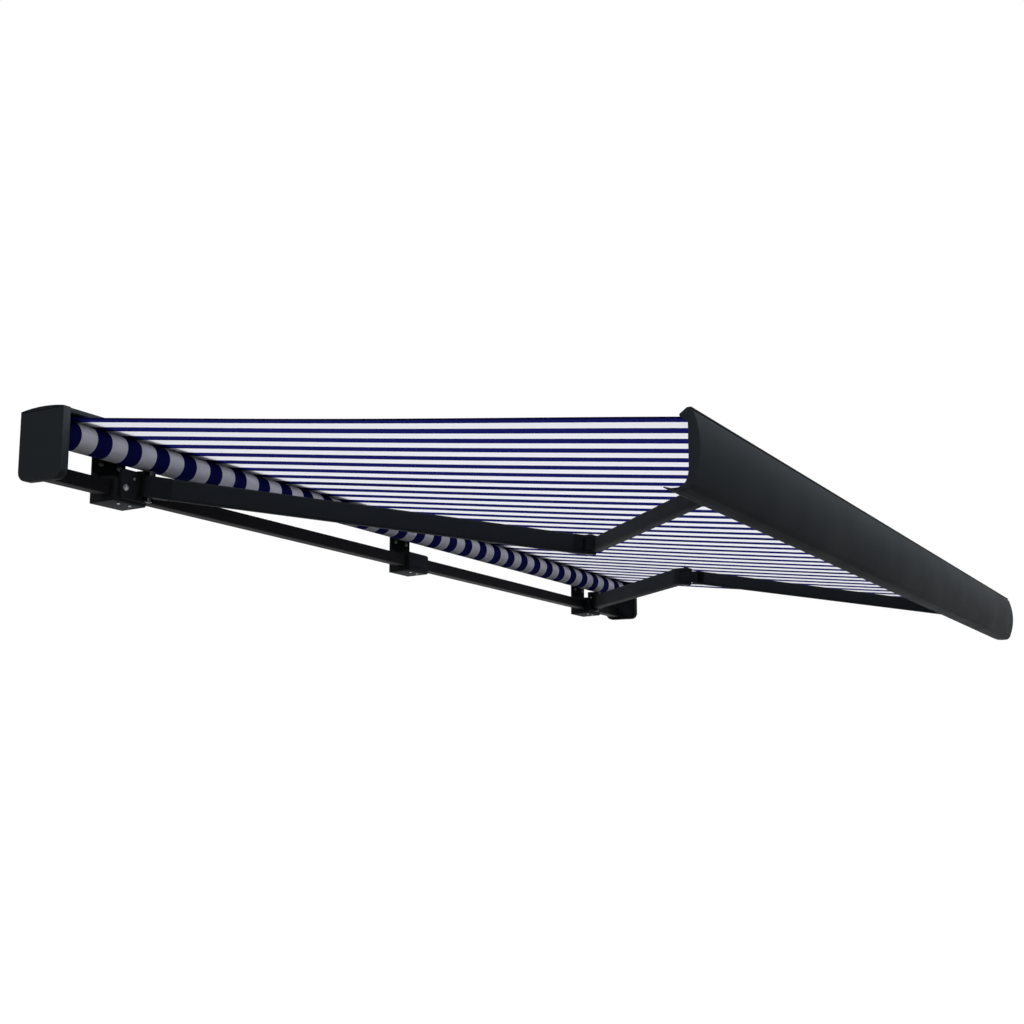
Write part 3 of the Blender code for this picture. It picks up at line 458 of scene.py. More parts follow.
def cloth_material(name, around_axis=None, see_through=0.0):
    """Striped cloth that lets the given share of light through.

    With an axis given as (Y, Z), the second thread direction runs round that axis, and the distance from it
    shows as the wound layers on the roll's ends."""
    made, tree, shader = new_material(name)
    place = add_node(tree, "TexCoord").outputs["Object"]
    axes = add_node(tree, "SeparateXYZ", {0: place}).outputs
    across = math_node(tree, "ADD", axes["X"], CLOTH_HALF)
    navy = add_node(tree, "Group", {"Pitch": STRIPE_PITCH, "Share": NAVY_SHARE, "Across": across},
                    node_tree=stripes).outputs["Navy"]
    slub = math_node(tree, "MULTIPLY", noise_node(tree, place, SLUB_SCALE, 5.0), SLUB_SHARE)
    soil = math_node(tree, "MULTIPLY", noise_node(tree, place, SOIL_SCALE, 3.0), SOIL_SHARE)
    tone = math_node(tree, "ADD", math_node(tree, "ADD", slub, soil), EVEN_TONE)
    dyed = add_node(tree, "Mix", {"Factor": navy, "A": (*WHITE, 1), "B": (*NAVY, 1)}, data_type="RGBA")
    colour = scaled(tree, dyed.outputs["Result"], tone)
    along = axes["Y"]
    if around_axis:
        y, z = (math_node(tree, "SUBTRACT", axes[label], middle) for label, middle in zip("YZ", around_axis))
        along = math_node(tree, "MULTIPLY", math_node(tree, "ARCTAN2", z, y), ROLL_RADIUS)
    height = add_node(tree, "Group", {"Thread": THREAD_PITCH, "Across": across, "Along": along},
                      node_tree=weave).outputs["Height"]
    if around_axis:
        squares = math_node(tree, "ADD", math_node(tree, "MULTIPLY", y, y), math_node(tree, "MULTIPLY", z, z))
        layers = math_node(tree, "MULTIPLY", math_node(tree, "SQRT", squares), 2 * math.pi / LAYER_SPACING)
        height = math_node(tree, "ADD", height, math_node(tree, "SINE", layers))
    bump = add_node(tree, "Bump", {"Strength": 0.35, "Distance": WEAVE_DEPTH, "Height": height})
    feed(tree, shader, {"Roughness": 0.85, "Specular IOR Level": 0.04, "Base Color": colour,
                        "Normal": bump.outputs["Normal"]})
    if see_through:
        behind = add_node(tree, "BsdfTranslucent", {"Color": colour})
        blend = add_node(tree, "MixShader", {"Fac": see_through, 1: shader.outputs[0], 2: behind.outputs[0]})
        feed(tree, tree.nodes["Material Output"], {"Surface": blend.outputs[0]})
    return made


roll_middle, roll_half = extent("cloth_roll")
ROLLER_AXIS, ROLL_RADIUS = tuple(roll_middle[1:]), roll_half[1]
LAYER_SPACING = 0.0012
stretched_cloth = cloth_material("stretched_cloth", see_through=0.45)
wound_cloth = cloth_material("wound_cloth", ROLLER_AXIS)
print("roller axis:", [round(v, 4) for v in ROLLER_AXIS], "radius:", round(ROLL_RADIUS, 4))

# %% [markdown]
# ## Fitting a piece to the model
#
# A finished piece gets its material, rides on the body that carries it, and may stand for a plain solid of
# the construction model. One small function does all of that, so no piece is forgotten.

# %% Finish a piece
body_of = {node: body for body, nodes in frame["record"]["behaviour"]["bodies"].items() for node in nodes}
slot_of = {part["node"]: part["material_slot"] for part in frame["record"]["subparts"]}
finish_of = {
    "graphite_coat": graphite, "coated_casting": casting, "black_coat": satin_black, "steel": zinc_steel,
    "bare_aluminium": bare_aluminium, "grey_plastic": grey_plastic, "black_plastic": black_plastic,
    "black_cord": black_plastic, "brush_seal": brush_pile, "striped_cloth": stretched_cloth,
}


def coat(piece, material):
    """The given finish and no other."""
    piece.data.materials.clear()
    piece.data.materials.append(material)


def finish_piece(piece, node=None, like=None, material=None):
    """The piece stands for a solid, or just goes with one like it, and takes its body, slot and finish."""
    source = node or like
    coat(piece, material or finish_of[slot_of[source]])
    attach(piece, body_of[source])
    if node:
        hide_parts(node)


for node, solid in frame["nodes"].items():
    coat(solid, finish_of[slot_of[node]])
print(len(finish_of), "finishes on", len(frame["nodes"]), "solids")

# %% [markdown]
# ## Cloth between roller and bar
#
# The arms keep the cloth taut, so a simulation would only find what a formula gives: a straight run that
# sags a few millimetres in the middle, and edges that draw in by about as much. It is one sheet over a grid
# of places across and along. It stays a single surface, so that the light from above shines through it once.

# %% The stretched sheet
CLOTH_SAG, CLOTH_DRAW_IN, CLOTH_WALL = 0.004, 0.004, 0.0006
SEAM_RISE, KEDER_COAT = 0.0006, 0.0004
keder_middle, keder_half = extent("cloth_keder")
front_edge = (keder_middle[1] + keder_half[1] + KEDER_COAT, keder_middle[2])
run = (ROLLER_AXIS[0] - front_edge[0], ROLLER_AXIS[1] + ROLL_RADIUS - front_edge[1])
slope = math.atan2(run[1], run[0])
lift = ROLL_RADIUS - SEAM_RISE + CLOTH_WALL
rear_edge = (ROLLER_AXIS[0] - lift * math.sin(slope), ROLLER_AXIS[1] + lift * math.cos(slope))


def cloth_points(first, last, across, along, under=0.0):
    """Straight from roller to bar, less sag and draw-in that follow the square of 4 s (1 - s) along the run.

    first and last are places across the cloth in metres, and under is how far the layer lies below it."""
    s, u = np.meshgrid(np.linspace(0, 1, along), np.linspace(first, last, across), indexing="ij")
    bow = (4 * s * (1 - s)) ** 2
    x = u * (1 - CLOTH_DRAW_IN * bow / CLOTH_HALF)
    y = rear_edge[0] + (front_edge[0] - rear_edge[0]) * s
    z = rear_edge[1] + (front_edge[1] - rear_edge[1]) * s - CLOTH_SAG * bow - under
    return np.stack([x, y, z], axis=-1), np.stack([x, s * CLOTH_LENGTH], axis=-1)


CLOTH_LENGTH = math.hypot(rear_edge[0] - front_edge[0], rear_edge[1] - front_edge[1])
points, place_on_cloth = cloth_points(-CLOTH_HALF, CLOTH_HALF, 161, 61)
cloth = sheet_surface("striped_cloth", points, place_on_cloth)
finish_piece(cloth, "cloth_sheet")
print("cloth:", round(2 * CLOTH_HALF, 3), "by", round(CLOTH_LENGTH, 3), "m")

# %% The arms' reach from the joints, and the cloth's own mesh
fold = joints["left_shoulder"]
elbow = np.array(joints["left_elbow"]["pos_m"])
shoulder = np.array(fold["pos_m"])
wrist = np.array(joints["left_wrist"]["pos_m"])
OUTWARD = unit((wrist - shoulder)[None])[0]
ARM_LENGTH = np.linalg.norm(elbow - shoulder)
OPEN_BEND = math.acos(np.linalg.norm(wrist - shoulder) / 2 / ARM_LENGTH)
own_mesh(cloth)

# %% [markdown]
# ## Hems and seams
#
# Awning cloth is sewn from lengths about 1.2 m wide, with an overlap at each seam and a folded hem down each
# side. They could be painted on, but they are a second layer, so they are made as thin strips that lie on
# the underside and ride on the same body as the cloth. Each seam is hidden in a navy stripe, as a sailmaker does
# it.

# %% Hems and seams under the cloth
STRIPES_PER_LENGTH = 8
HEM_WIDTH, SEAM_WIDTH, LAYER_DROP = 0.025, 0.020, 0.0007
seam_stripes = np.arange(1, STRIPES // STRIPES_PER_LENGTH) * STRIPES_PER_LENGTH
seam_places = (seam_stripes + NAVY_SHARE / 2) * STRIPE_PITCH - CLOTH_HALF


def under_strip(first, last):
    """A strip of the cloth between two places across it, one layer lower."""
    return sheet_surface("strip", *cloth_points(first, last, 3, 61, LAYER_DROP))


strips = [under_strip(x - SEAM_WIDTH / 2, x + SEAM_WIDTH / 2) for x in seam_places]
for way in (-1, 1):
    strips.append(under_strip(*sorted((way * (CLOTH_HALF - HEM_WIDTH), way * CLOTH_HALF))))
hems = joined("cloth_hems_and_seams", strips)
hems.data.shade_smooth()
finish_piece(hems, like="cloth_sheet")
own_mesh(hems)
print("seams at", [round(float(x), 3) for x in seam_places])

# %% [markdown]
# ## The wound roll
#
# Each seam and hem adds a layer, so the roll is a little thicker there. The radius is the plain one plus a
# smooth step near each of those places, and the profile is turned about the roller's axis.

# %% The roll of cloth
ROLL_WALL, RIDGE_SOFTNESS, ROLL_STEPS = 0.0068, 0.002, 64


def across(way):
    """The placing matrix on the roller's axis whose height runs along +X or -X."""
    y, z = ROLLER_AXIS
    return np.array([[0, 0, way, 0], [0, 1, 0, y], [-way, 0, 0, z], [0, 0, 0, 1.0]])


def roll_profile():
    """Radius along the roll: the plain radius, plus a smooth rise within a hem's width of each seam."""
    x = np.linspace(-CLOTH_HALF, CLOTH_HALF, 481)
    ridges = np.concatenate([seam_places, [-CLOTH_HALF, CLOTH_HALF]])
    near = np.abs(x[:, None] - ridges[None]).min(1)
    rise = SEAM_RISE / (1 + np.exp((near - SEAM_WIDTH / 2) / RIDGE_SOFTNESS))
    inner = ROLL_RADIUS - ROLL_WALL
    outer = np.stack([ROLL_RADIUS - SEAM_RISE + rise, x], axis=-1)
    return np.concatenate([[[inner, x[0]]], outer, [[inner, x[-1]]]])


profile = roll_profile()
roll_points = placed(spun(profile, ROLL_STEPS).reshape(-1, 3), across(1))
faces = band_faces(len(profile) + 1, ROLL_STEPS) % (len(profile) * ROLL_STEPS)
roll = piece_from("wound_roll", roll_points, faces)
finish_piece(roll, "cloth_roll", material=wound_cloth)
print("roll:", len(profile), "rings, thickest", round(profile[:, 0].max() * 2000, 1), "mm across")

# %% [markdown]
# ## Round pieces on the roller's axis
#
# The tube, its plug, its crown and the motor head are all turned or extruded about one axis. The tube has two
# keyed grooves, as real roller tubes do, which lock the cloth's rear cord and the crown.

# %% Roller tube, plug, crown and motor head
GROOVE_DEPTH, GROOVE_WIDTH = 0.0042, 0.11


def grooved_circle(radius, steps=144):
    """A circle whose radius drops by the groove depth times a steep bump at two opposite angles."""
    angle = even_angles(steps)
    from_groove = np.minimum(np.abs(angle - np.pi / 2), np.abs(angle - 3 * np.pi / 2))
    dip = GROOVE_DEPTH * np.exp(-((from_groove / GROOVE_WIDTH) ** 6))
    return (radius - dip)[:, None] * circle_points(angle)


TUBE_HALF, TUBE_RADIUS = extent("roller_tube")[1][:2]
tube = soft_plate("grooved_tube", grooved_circle(TUBE_RADIUS), -TUBE_HALF, TUBE_HALF, 0.0006, across(1))
finish_piece(tube, "roller_tube")
STUB_SHORTER = 4.5
stub = (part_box("cassette_cap_right")[1][0] - TUBE_HALF) / MM - STUB_SHORTER
plug = turned("roller_plug", [
    (0, 0.3), (40.5, 0.3), (42.5, 1.2), (42.5, 4.5), (40.5, 5.3), (20, 5.3), (18.5, 6.8), (9.5, 6.8),
    (8, 5.3), (8, stub - 1), (7, stub), (0, stub),
], across(-1), TUBE_HALF)
finish_piece(plug, "roller_plug_left")
crown = turned("roller_crown", [
    (26, 0.3), (40.5, 0.3), (42.5, 1.2), (42.5, 3.6), (41.5, 4.3), (27.2, 4.3), (26, 3.6),
], across(1), TUBE_HALF)
finish_piece(crown, "roller_crown_right")
head = turned("motor_head_shell", [
    (0, 4.6), (34, 4.6), (36, 5.6), (36, 6.8), (35, 7.7), (10.5, 7.7), (10.5, 12), (8, 12),
    (8, stub - 1), (7, stub), (0, stub),
], across(1), TUBE_HALF)
finish_piece(head, "motor_head")
print("roller tube", round(2 * TUBE_HALF, 3), "m long")

# %% [markdown]
# ## Hood, end caps and torsion bar
#
# An extruded hood has the same section all along, so one closed outline carried along X is the whole piece.
# Its front lip ends in a small drip bead. The end caps are deep cups: rings of one outline move inward and
# outward as they go over the rim, so the bead, the recessed face and the pocket come from a list of (inset,
# height) pairs.

# %% The hood
hood_low, hood_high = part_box("hood_profile")
HOOD_HALF = hood_high[0]
HOOD_WALL, LIP_DEPTH, CROWN_RISE, REAR_FALL = 0.0025, 0.019, 0.008, 0.005
REAR_FOOT, FOOT_DEPTH = 0.051, 0.056
CROWN_BASE, CROWN_STEPS = 0.140, 28
STEP, SOFT, FOOT_SOFT, BEAD_RADIUS = 0.002, 0.0006, 0.0012, 0.0022


def crown_line(front, rear, drop=0):
    """The top's flat arch: 4 * rise * s * (1 - s), less a fall that grows with s."""
    s = np.linspace(0, 1, CROWN_STEPS)
    z = CROWN_BASE + 4 * CROWN_RISE * s * (1 - s) - REAR_FALL * s - drop
    return np.stack([front + (rear - front) * s, z], axis=-1)


def strip_outline(path, wall):
    """A path, and the same path moved sideways by the wall along its mitred normals, as one outline."""
    step = unit(np.diff(path, axis=0))
    side = mitre(np.concatenate([step[:1], step]), np.concatenate([step, step[-1:]]), 0.4)
    return np.concatenate([path, (path + side * wall)[::-1]])


front, rear = hood_low[1], hood_high[1]
lip = CROWN_BASE - LIP_DEPTH
top = crown_line(front + STEP, rear - STEP, STEP)
first, last = top[0, 1], top[-1, 1]
path = np.concatenate([
    [[front, lip + STEP], [front, first - STEP], [front + SOFT, first - SOFT]], top,
    [[rear - SOFT, last - SOFT], [rear, last - STEP], [rear, REAR_FOOT + FOOT_SOFT]],
    [[rear - FOOT_SOFT, REAR_FOOT], [rear - FOOT_DEPTH, REAR_FOOT]],
])
bead = ring_points(BEAD_RADIUS, 16, (front + BEAD_RADIUS + 0.0001, lip + BEAD_RADIUS))
hood = joined("hood_extrusion", [
    soft_plate("hood_sheet", strip_outline(path, -HOOD_WALL), -HOOD_HALF, HOOD_HALF, 0.0003),
    soft_plate("hood_drip_bead", bead, -HOOD_HALF, HOOD_HALF, 0.0005),
])
finish_piece(hood, "hood_profile")
print("hood:", round(2 * HOOD_HALF, 3), "m of extrusion")

# %% End caps
cap_low, cap_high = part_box("cassette_cap_right")
HALF_WIDTH, CAP_DEPTH = cap_high[0], cap_high[0] - cap_low[0]
CAP_CORNER, TOP_STEP = 0.035, 0.003


def cap_line():
    """The cap from the end: two quarter circles below, the crown on top, small steps at its shoulders."""
    front, rear, bottom = cap_low[1], cap_high[1], cap_low[2]
    arc = circle_points(np.linspace(np.pi, 1.5 * np.pi, 13)) * CAP_CORNER
    lower_front = arc + [front + CAP_CORNER, bottom + CAP_CORNER]
    lower_rear = arc[::-1] * [-1, 1] + [rear - CAP_CORNER, bottom + CAP_CORNER]
    top = crown_line(front + TOP_STEP, rear - TOP_STEP)[::-1]
    corner = circle_points(np.linspace(0, np.pi / 2, 5)[1:-1])
    bend = TOP_STEP * np.stack([1 - corner[:, 0], corner[:, 1] - 1], axis=-1)
    rear_bend = bend * [-1, 1] + [rear, top[0, 1]]
    front_bend = bend + [front, top[-1, 1]]
    return np.concatenate([lower_front, lower_rear, rear_bend, top, front_bend[::-1]])


deep = CAP_DEPTH / MM
CAP_STATIONS = np.array([
    (5.6, 0.9), (5, 0.9), (4.3, 0.2), (3.8, 0), (1.6, 0), (0.8, 0.2), (0.2, 0.9), (0, 1.8),
    (0, deep - 0.8), (0.3, deep - 0.2), (0.8, deep), (2.4, deep), (2.8, deep - 0.3), (3, deep - 1),
    (3, 7), (3.9, 4.9), (6, 4),
]) * MM


def from_end(stations, way):
    """Heights measured from an end face: kept for the left end, negated and in reverse for the right."""
    return stations if way < 0 else stations[::-1] * [1, -1]


bar_middle, bar_half = extent("torsion_bar")
BAR_MIDDLE, BAR_HALF, BAR_SIZE = bar_middle[1:], bar_half[0], 2 * bar_half[2]
SIDES = (("left", -1), ("right", 1))
SEAT_START, SEAT_INSET = 0.003, 0.004
end = (HALF_WIDTH - TUBE_HALF) / MM
for side, way in SIDES:
    stations = from_end(CAP_STATIONS, way)
    shell = lofted(f"cap_shell_{side}", cap_line(), stations, section_place(way * HALF_WIDTH))
    boss = turned(f"cap_boss_{side}", [
        (8.8, 8), (15.2, 8), (16, 8.8), (16, end - 10), (17.2, end - 6), (19.5, end - 3), (8.8, end - 3),
    ], across(way), TUBE_HALF)
    inner, outer = sorted((way * (BAR_HALF + 0.0034), way * (HALF_WIDTH - SEAT_START)))
    corners = rounded(rectangle(BAR_MIDDLE, BAR_SIZE / 2 - SEAT_INSET), 0.004)
    seat = soft_plate(f"cap_seat_{side}", corners, inner, outer, 0.0008)
    finish_piece(joined(f"end_cap_{side}", [shell, boss, seat]), f"cassette_cap_{side}")
print("end caps:", round(CAP_DEPTH * 1000), "mm deep")

# %% Torsion bar and its end plugs
bar_line = rounded(rectangle(BAR_MIDDLE, BAR_SIZE / 2), 0.005, 8)
finish_piece(soft_plate("square_bar", bar_line, -BAR_HALF, BAR_HALF, 0.0006), "torsion_bar")
for side, way in SIDES:
    low, high = sorted((way * (BAR_HALF + GAP), way * (BAR_HALF + 0.003)))
    finish_piece(soft_plate(f"bar_plug_{side}", bar_line, low, high, 0.001), f"torsion_plug_{side}")
print("torsion bar:", round(BAR_SIZE * 1000), "mm square")

# %% [markdown]
# ## Brackets and bolts
#
# The wall brackets are aluminium extrusions cut to length, so their section is drawn once and every corner of
# it is rounded. A clamp of the same width closes over the bar and is held by screws from below. Bolt heads
# are six-sided plates on a round washer with a flange.

# %% Bolts
HEX_TURN, HEX_SOFT, DOME_SHARE = 0.3, 0.06, 0.22
WASHER, SOCKET_STEPS = 0.0012, 36


def hex_head(name, width, height, washer, place):
    """A hexagon with a domed rim on a washer: the inner fillet is small and the outer one large."""
    corners = circle_points(even_angles(6) + HEX_TURN) * width / 2 / math.cos(math.pi / 6)
    dome = (0.0001, height * DOME_SHARE)
    head = soft_plate(name, rounded(corners, width * HEX_SOFT, 3), WASHER, height, dome, place)
    rim = washer / MM
    edge = [(0, 0), (rim - 0.3, 0), (rim, 0.3), (rim, 0.9), (rim - 0.3, 1.2), (0, 1.2)]
    ring = turned(name, edge, place, steps=28)
    return joined(name, [head, ring])


def socket_head(name, radius, height, place):
    """A round head with a hexagonal socket, made as a turned rim round a six-sided hole."""
    angle = even_angles(SOCKET_STEPS)
    hexagon = 0.5 / np.cos((angle % (np.pi / 3)) - np.pi / 6) * math.cos(math.pi / 6)
    rings = [(0.97, 0), (1, 0.1), (1, 0.8), (0.9, 1), (hexagon, 1), (hexagon, 0.35)]
    points = np.empty((len(rings), SOCKET_STEPS, 3))
    for ring, (size, level) in zip(points, rings):
        ring[:, :2] = circle_points(angle) * np.broadcast_to(radius * size, SOCKET_STEPS)[:, None]
        ring[:, 2] = height * level
    return stacked(name, points, place)


def from_wall(x, y, z):
    """A placing matrix whose height runs outward from the wall."""
    return np.array([[1, 0, 0, x], [0, 0, -1, y], [0, 1, 0, z], [0, 0, 0, 1.0]])


def downward(x, y, z):
    """A placing matrix whose height runs straight down."""
    return np.array([[1, 0, 0, x], [0, -1, 0, y], [0, 0, -1, z], [0, 0, 0, 1.0]])


print("bolt heads ready")

# %% Wall brackets and clamps
CLAMP_WALL, JAW_DEPTH, PLATE = 0.0157, 0.022, 0.008
CLAMP_SCREW_ASIDE, CLAMP_SCREW_BACK = 0.03, 0.014
CUT_FILLET = 0.0016
BAR_REAR, BAR_TOP = BAR_MIDDLE + BAR_SIZE / 2
BAR_FRONT, BAR_FOOT = BAR_MIDDLE - BAR_SIZE / 2
back, jaw, inner, top = BAR_REAR + GAP, BAR_FOOT - GAP, BAR_FRONT - GAP, BAR_TOP + GAP
shelf, lid = jaw - JAW_DEPTH, top + CLAMP_WALL
for label in ("left", "centre", "right"):
    low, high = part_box(f"wall_bracket_{label}")
    middle, front = (low[0] + high[0]) / 2, low[1]
    section = [
        (0, high[2]), (-PLATE, high[2]), (-PLATE, BAR_TOP + 0.035), (back, BAR_TOP + 0.010), (back, jaw),
        (front, jaw), (front, shelf + 0.006), (front + 0.006, shelf), (0, low[2]),
    ]
    line = rounded(section, np.array([0.8, 3, 12, 4, 0.6, 1.5, 4, 4, 0.8]) * MM, 5)
    body = soft_plate(f"bracket_{label}", line, low[0], high[0], CUT_FILLET)
    finish_piece(body, f"wall_bracket_{label}")
    for number, aside in enumerate((-CLAMP_SCREW_ASIDE, CLAMP_SCREW_ASIDE), 1):
        place = downward(middle + aside, BAR_MIDDLE[0] - CLAMP_SCREW_BACK, shelf)
        screw = socket_head(f"clamp_screw_{label}_{number}", 0.0055, 0.004, place)
        finish_piece(screw, like="wall_bolt_left_1")
    section = [
        (back - 0.0006, top), (back - 0.0006, lid), (front + 0.008, lid), (front, lid - 0.008),
        (front, jaw + GAP), (inner, jaw + GAP), (inner, top),
    ]
    line = rounded(section, np.array([0.6, 3, 6, 6, 1.5, 0.6, 1]) * MM, 5)
    clamp = soft_plate(f"clamp_{label}", line, low[0], high[0], CUT_FILLET)
    finish_piece(clamp, f"bar_clamp_{label}")
    for number in (1, 2):
        x, _, z = extent(f"wall_bolt_{label}_{number}")[0]
        place = from_wall(x, -PLATE - GAP, z)
        bolt = hex_head(f"wall_bolt_head_{label}_{number}", 0.016, 0.0065, 0.0105, place)
        finish_piece(bolt, f"wall_bolt_{label}_{number}")
print("three brackets, three clamps, six wall bolts")

# %% [markdown]
# ## Folding arms
#
# Each arm is two extruded tubes with a casting at every end. They could be drawn at rest in the object's own
# axes, but an arm is simpler in its own frame: height along the joint axis, one direction along the tube. The
# frame is found from the joints of the model, so the pieces land where the solids are.

# %% Frames along the arms
ARM_UP = np.array(fold["axis"]) / np.linalg.norm(fold["axis"])
SIDEWAYS = np.array([1.0, 0, 0])
ARM_OFFSET, END_CHAMFER = 0.0235, 0.0012
TUBE_RUN = math.sqrt(ARM_LENGTH**2 - ARM_OFFSET**2)
OFFSET_ANGLE = math.asin(ARM_OFFSET / ARM_LENGTH)


def arm_place(origin, bearing):
    """Columns: along the arm at a bearing from straight out, across it, up the joint axis, and the origin."""
    along = OUTWARD * math.cos(bearing) + SIDEWAYS * math.sin(bearing)
    place = np.eye(4)
    place[:3] = np.stack([along, np.cross(ARM_UP, along), ARM_UP, origin], axis=-1)
    return place


def along_tube(place, x):
    """The same frame turned so that heights run along the arm, outlines across and up."""
    return place @ section_place(x)


def shifted(place, x, y):
    """The same frame with its origin moved along the arm and across it."""
    moved = place.copy()
    moved[:3, 3] = placed(np.array([x, y, 0.0]), place)
    return moved


def tapered_eye(eye, reach, low, high, end, x=0.0, y=0.0):
    """A round eye at (x, y) whose sides run to a bar between low and high that goes on to the end.

    The side line touches the circle where the radius is square to it: that radius has the bearing of the
    corner seen from the centre, plus or minus the arc cosine of radius over distance."""
    way = 1 if end > x else -1
    corners = np.array([(reach, low), (reach, high)]) - [x, y]
    distance = np.linalg.norm(corners, axis=1)
    bearing = np.arctan2(corners[:, 1], corners[:, 0])
    opening = np.arccos(np.clip(eye / distance, -1, 1))
    start, stop = bearing[1] + way * opening[1], bearing[0] - way * opening[0]
    turn = (stop - start) % (2 * np.pi) if way > 0 else -((start - stop) % (2 * np.pi))
    angle = start + turn * np.linspace(0, 1, 40)
    arc = circle_points(angle) * eye + [x, y]
    cut = END_CHAMFER * way
    bar = [(reach, low), (end - cut, low), (end, low + END_CHAMFER), (end, high - END_CHAMFER),
           (end - cut, high), (reach, high)]
    return np.concatenate([arc, bar])


print("tube run:", round(TUBE_RUN, 4), "m")

# %% Tubes, castings and pins
UPPER_WIDTH, UPPER_HEIGHT, FOREARM_WIDTH, FOREARM_HEIGHT = 0.045, 0.078, 0.040, 0.060
BLOCK_END, PIVOT_GAP, SEAM = 0.075, 0.0012, 0.0003
SHOULDER_EYE, ELBOW_EYE, WRIST_EYE = 0.028, 0.026, 0.022
SHOULDER_LUG, ELBOW_LUG, WRIST_LUG = 0.030, 0.028, 0.024
EYE_ROOM, CORE_INSET, CORE_STEP = 0.0028, 0.0015, 0.012
CORE_BACK, CORE_CORNER, CORE_OVERLAP = 0.002, 0.0148, 0.001
ELBOW_SLOT, WRIST_SLOT = UPPER_HEIGHT / 2 - 0.012, FOREARM_HEIGHT / 2 - 0.006


def arm_tube(name, place, width, height, middle):
    """An extruded tube with generous corners and a cut edge that catches the light at each end."""
    corners = rounded(rectangle([middle, 0], [width / 2, height / 2]), 0.010, 8)
    start, end = BLOCK_END + SEAM, TUBE_RUN - BLOCK_END - SEAM
    return soft_plate(name, corners, 0, end - start, 0.0007, along_tube(place, start))


def eye_casting(name, place, eye, slim, start, width, height, middle, far=False, pin_y=0.0):
    """A casting with a flat eye and, if the eye is slimmer than the tube, a block as tall as the tube."""
    x, way = (TUBE_RUN, -1) if far else (0.0, 1)
    end = TUBE_RUN - BLOCK_END if far else BLOCK_END
    low, high = middle - width / 2, middle + width / 2
    line = tapered_eye(eye, x + way * start, low, high, end, x, pin_y)
    parts = [soft_plate("flat", line, -slim, slim, 0.003, place)]
    if slim < height / 2:
        first, last = sorted((x + way * (start + 0.004), end))
        block = rounded([(first, low), (last, low), (last, high), (first, high)], 0.0025, 4)
        parts.append(soft_plate("block", block, -height / 2, height / 2, 0.006, place))
    return joined(name, parts)


def fork_casting(name, place, out):
    """The elbow's fork: a solid block with a lug above and one below the slot, their outer rims rounded.

    The core's end is hollowed by an arc that clears the other arm's eye."""
    reach, end = TUBE_RUN - ELBOW_LUG - 0.004, TUBE_RUN - BLOCK_END
    low, high, y = -UPPER_WIDTH / 2, UPPER_WIDTH / 2, -out * ARM_OFFSET
    line = tapered_eye(ELBOW_LUG, reach, low, high, end, TUBE_RUN, y)
    top = soft_plate("top", line, ELBOW_SLOT, UPPER_HEIGHT / 2, (0.0006, 0.0035), place)
    base = soft_plate("base", line, -UPPER_HEIGHT / 2, -ELBOW_SLOT, (0.0035, 0.0006), place)
    arc = (ELBOW_EYE + EYE_ROOM) * circle_points(np.radians([142, 125, 108, 91])) * [1, out] + [TUBE_RUN, y]
    near, away = y + out * CORE_INSET, out * UPPER_WIDTH / 2
    edge = [(reach, near), (reach, near + out * CORE_STEP), *arc]
    edge += [(TUBE_RUN - CORE_BACK, away - out * CORE_CORNER), (reach, away), (end, away)]
    half = ELBOW_SLOT + CORE_OVERLAP
    core = soft_plate("core", [(end, near), *edge], -half, half, 0.0001, place)
    return joined(name, [top, base, core])


def pivot_pin(name, place, half):
    """A pin with a domed head, and a spring ring in a groove at its lower end."""
    top, foot = (half + GAP) / MM, -half / MM
    shaft = turned(name, [
        (0, foot - 3), (7.8, foot - 3), (9, foot - 2), (9, foot - 1.2), (7.8, foot - 1.1), (7.8, foot - 0.3),
        (9, foot), (9, top), (13.8, top), (14, top + 0.4), (14, top + 2.2), (12.5, top + 3.7),
        (10.5, top + 4), (0, top + 4),
    ], place)
    clip = turned("clip", [
        (7.9, foot - 1.2), (12.5, foot - 1.2), (12.8, foot - 0.9), (12.5, foot - 0.3), (7.9, foot - 0.3),
    ], place)
    return joined(name, [shaft, clip])


print("arm pieces ready")

# %% Put the two arms together
for side, way in SIDES:
    out = -way
    bearing, middle = out * (OPEN_BEND + OFFSET_ANGLE), out * ARM_OFFSET
    upper = arm_place(joints[f"{side}_shoulder"]["pos_m"], bearing)
    lower = arm_place(joints[f"{side}_elbow"]["pos_m"], -bearing)
    upper_size, lower_size = (UPPER_WIDTH, UPPER_HEIGHT), (FOREARM_WIDTH, FOREARM_HEIGHT)
    finish_piece(arm_tube(f"upper_tube_{side}", upper, *upper_size, 0), f"upper_arm_{side}")
    finish_piece(arm_tube(f"forearm_tube_{side}", lower, *lower_size, middle), f"forearm_{side}")
    eye = eye_casting(f"shoulder_eye_{side}", upper, SHOULDER_EYE, UPPER_HEIGHT / 2, SHOULDER_LUG + 0.004,
                      *upper_size, 0)
    finish_piece(eye, f"shoulder_knuckle_{side}")
    finish_piece(fork_casting(f"fork_{side}", upper, out), f"elbow_fork_{side}")
    pin = pivot_pin(f"elbow_bolt_{side}", shifted(upper, TUBE_RUN, -middle), UPPER_HEIGHT / 2)
    finish_piece(pin, f"elbow_pin_{side}", material=black_steel)
    eye = eye_casting(f"elbow_eye_{side}", lower, ELBOW_EYE, ELBOW_SLOT - PIVOT_GAP, ELBOW_LUG + 0.004,
                      *lower_size, middle)
    finish_piece(eye, f"elbow_knuckle_{side}")
    eye = eye_casting(f"wrist_eye_{side}", lower, WRIST_EYE, WRIST_SLOT - PIVOT_GAP, WRIST_LUG + 0.006,
                      *lower_size, middle, far=True, pin_y=middle)
    finish_piece(eye, f"wrist_knuckle_{side}")
print("two arms of", round(ARM_LENGTH, 3), "m from pin to pin")

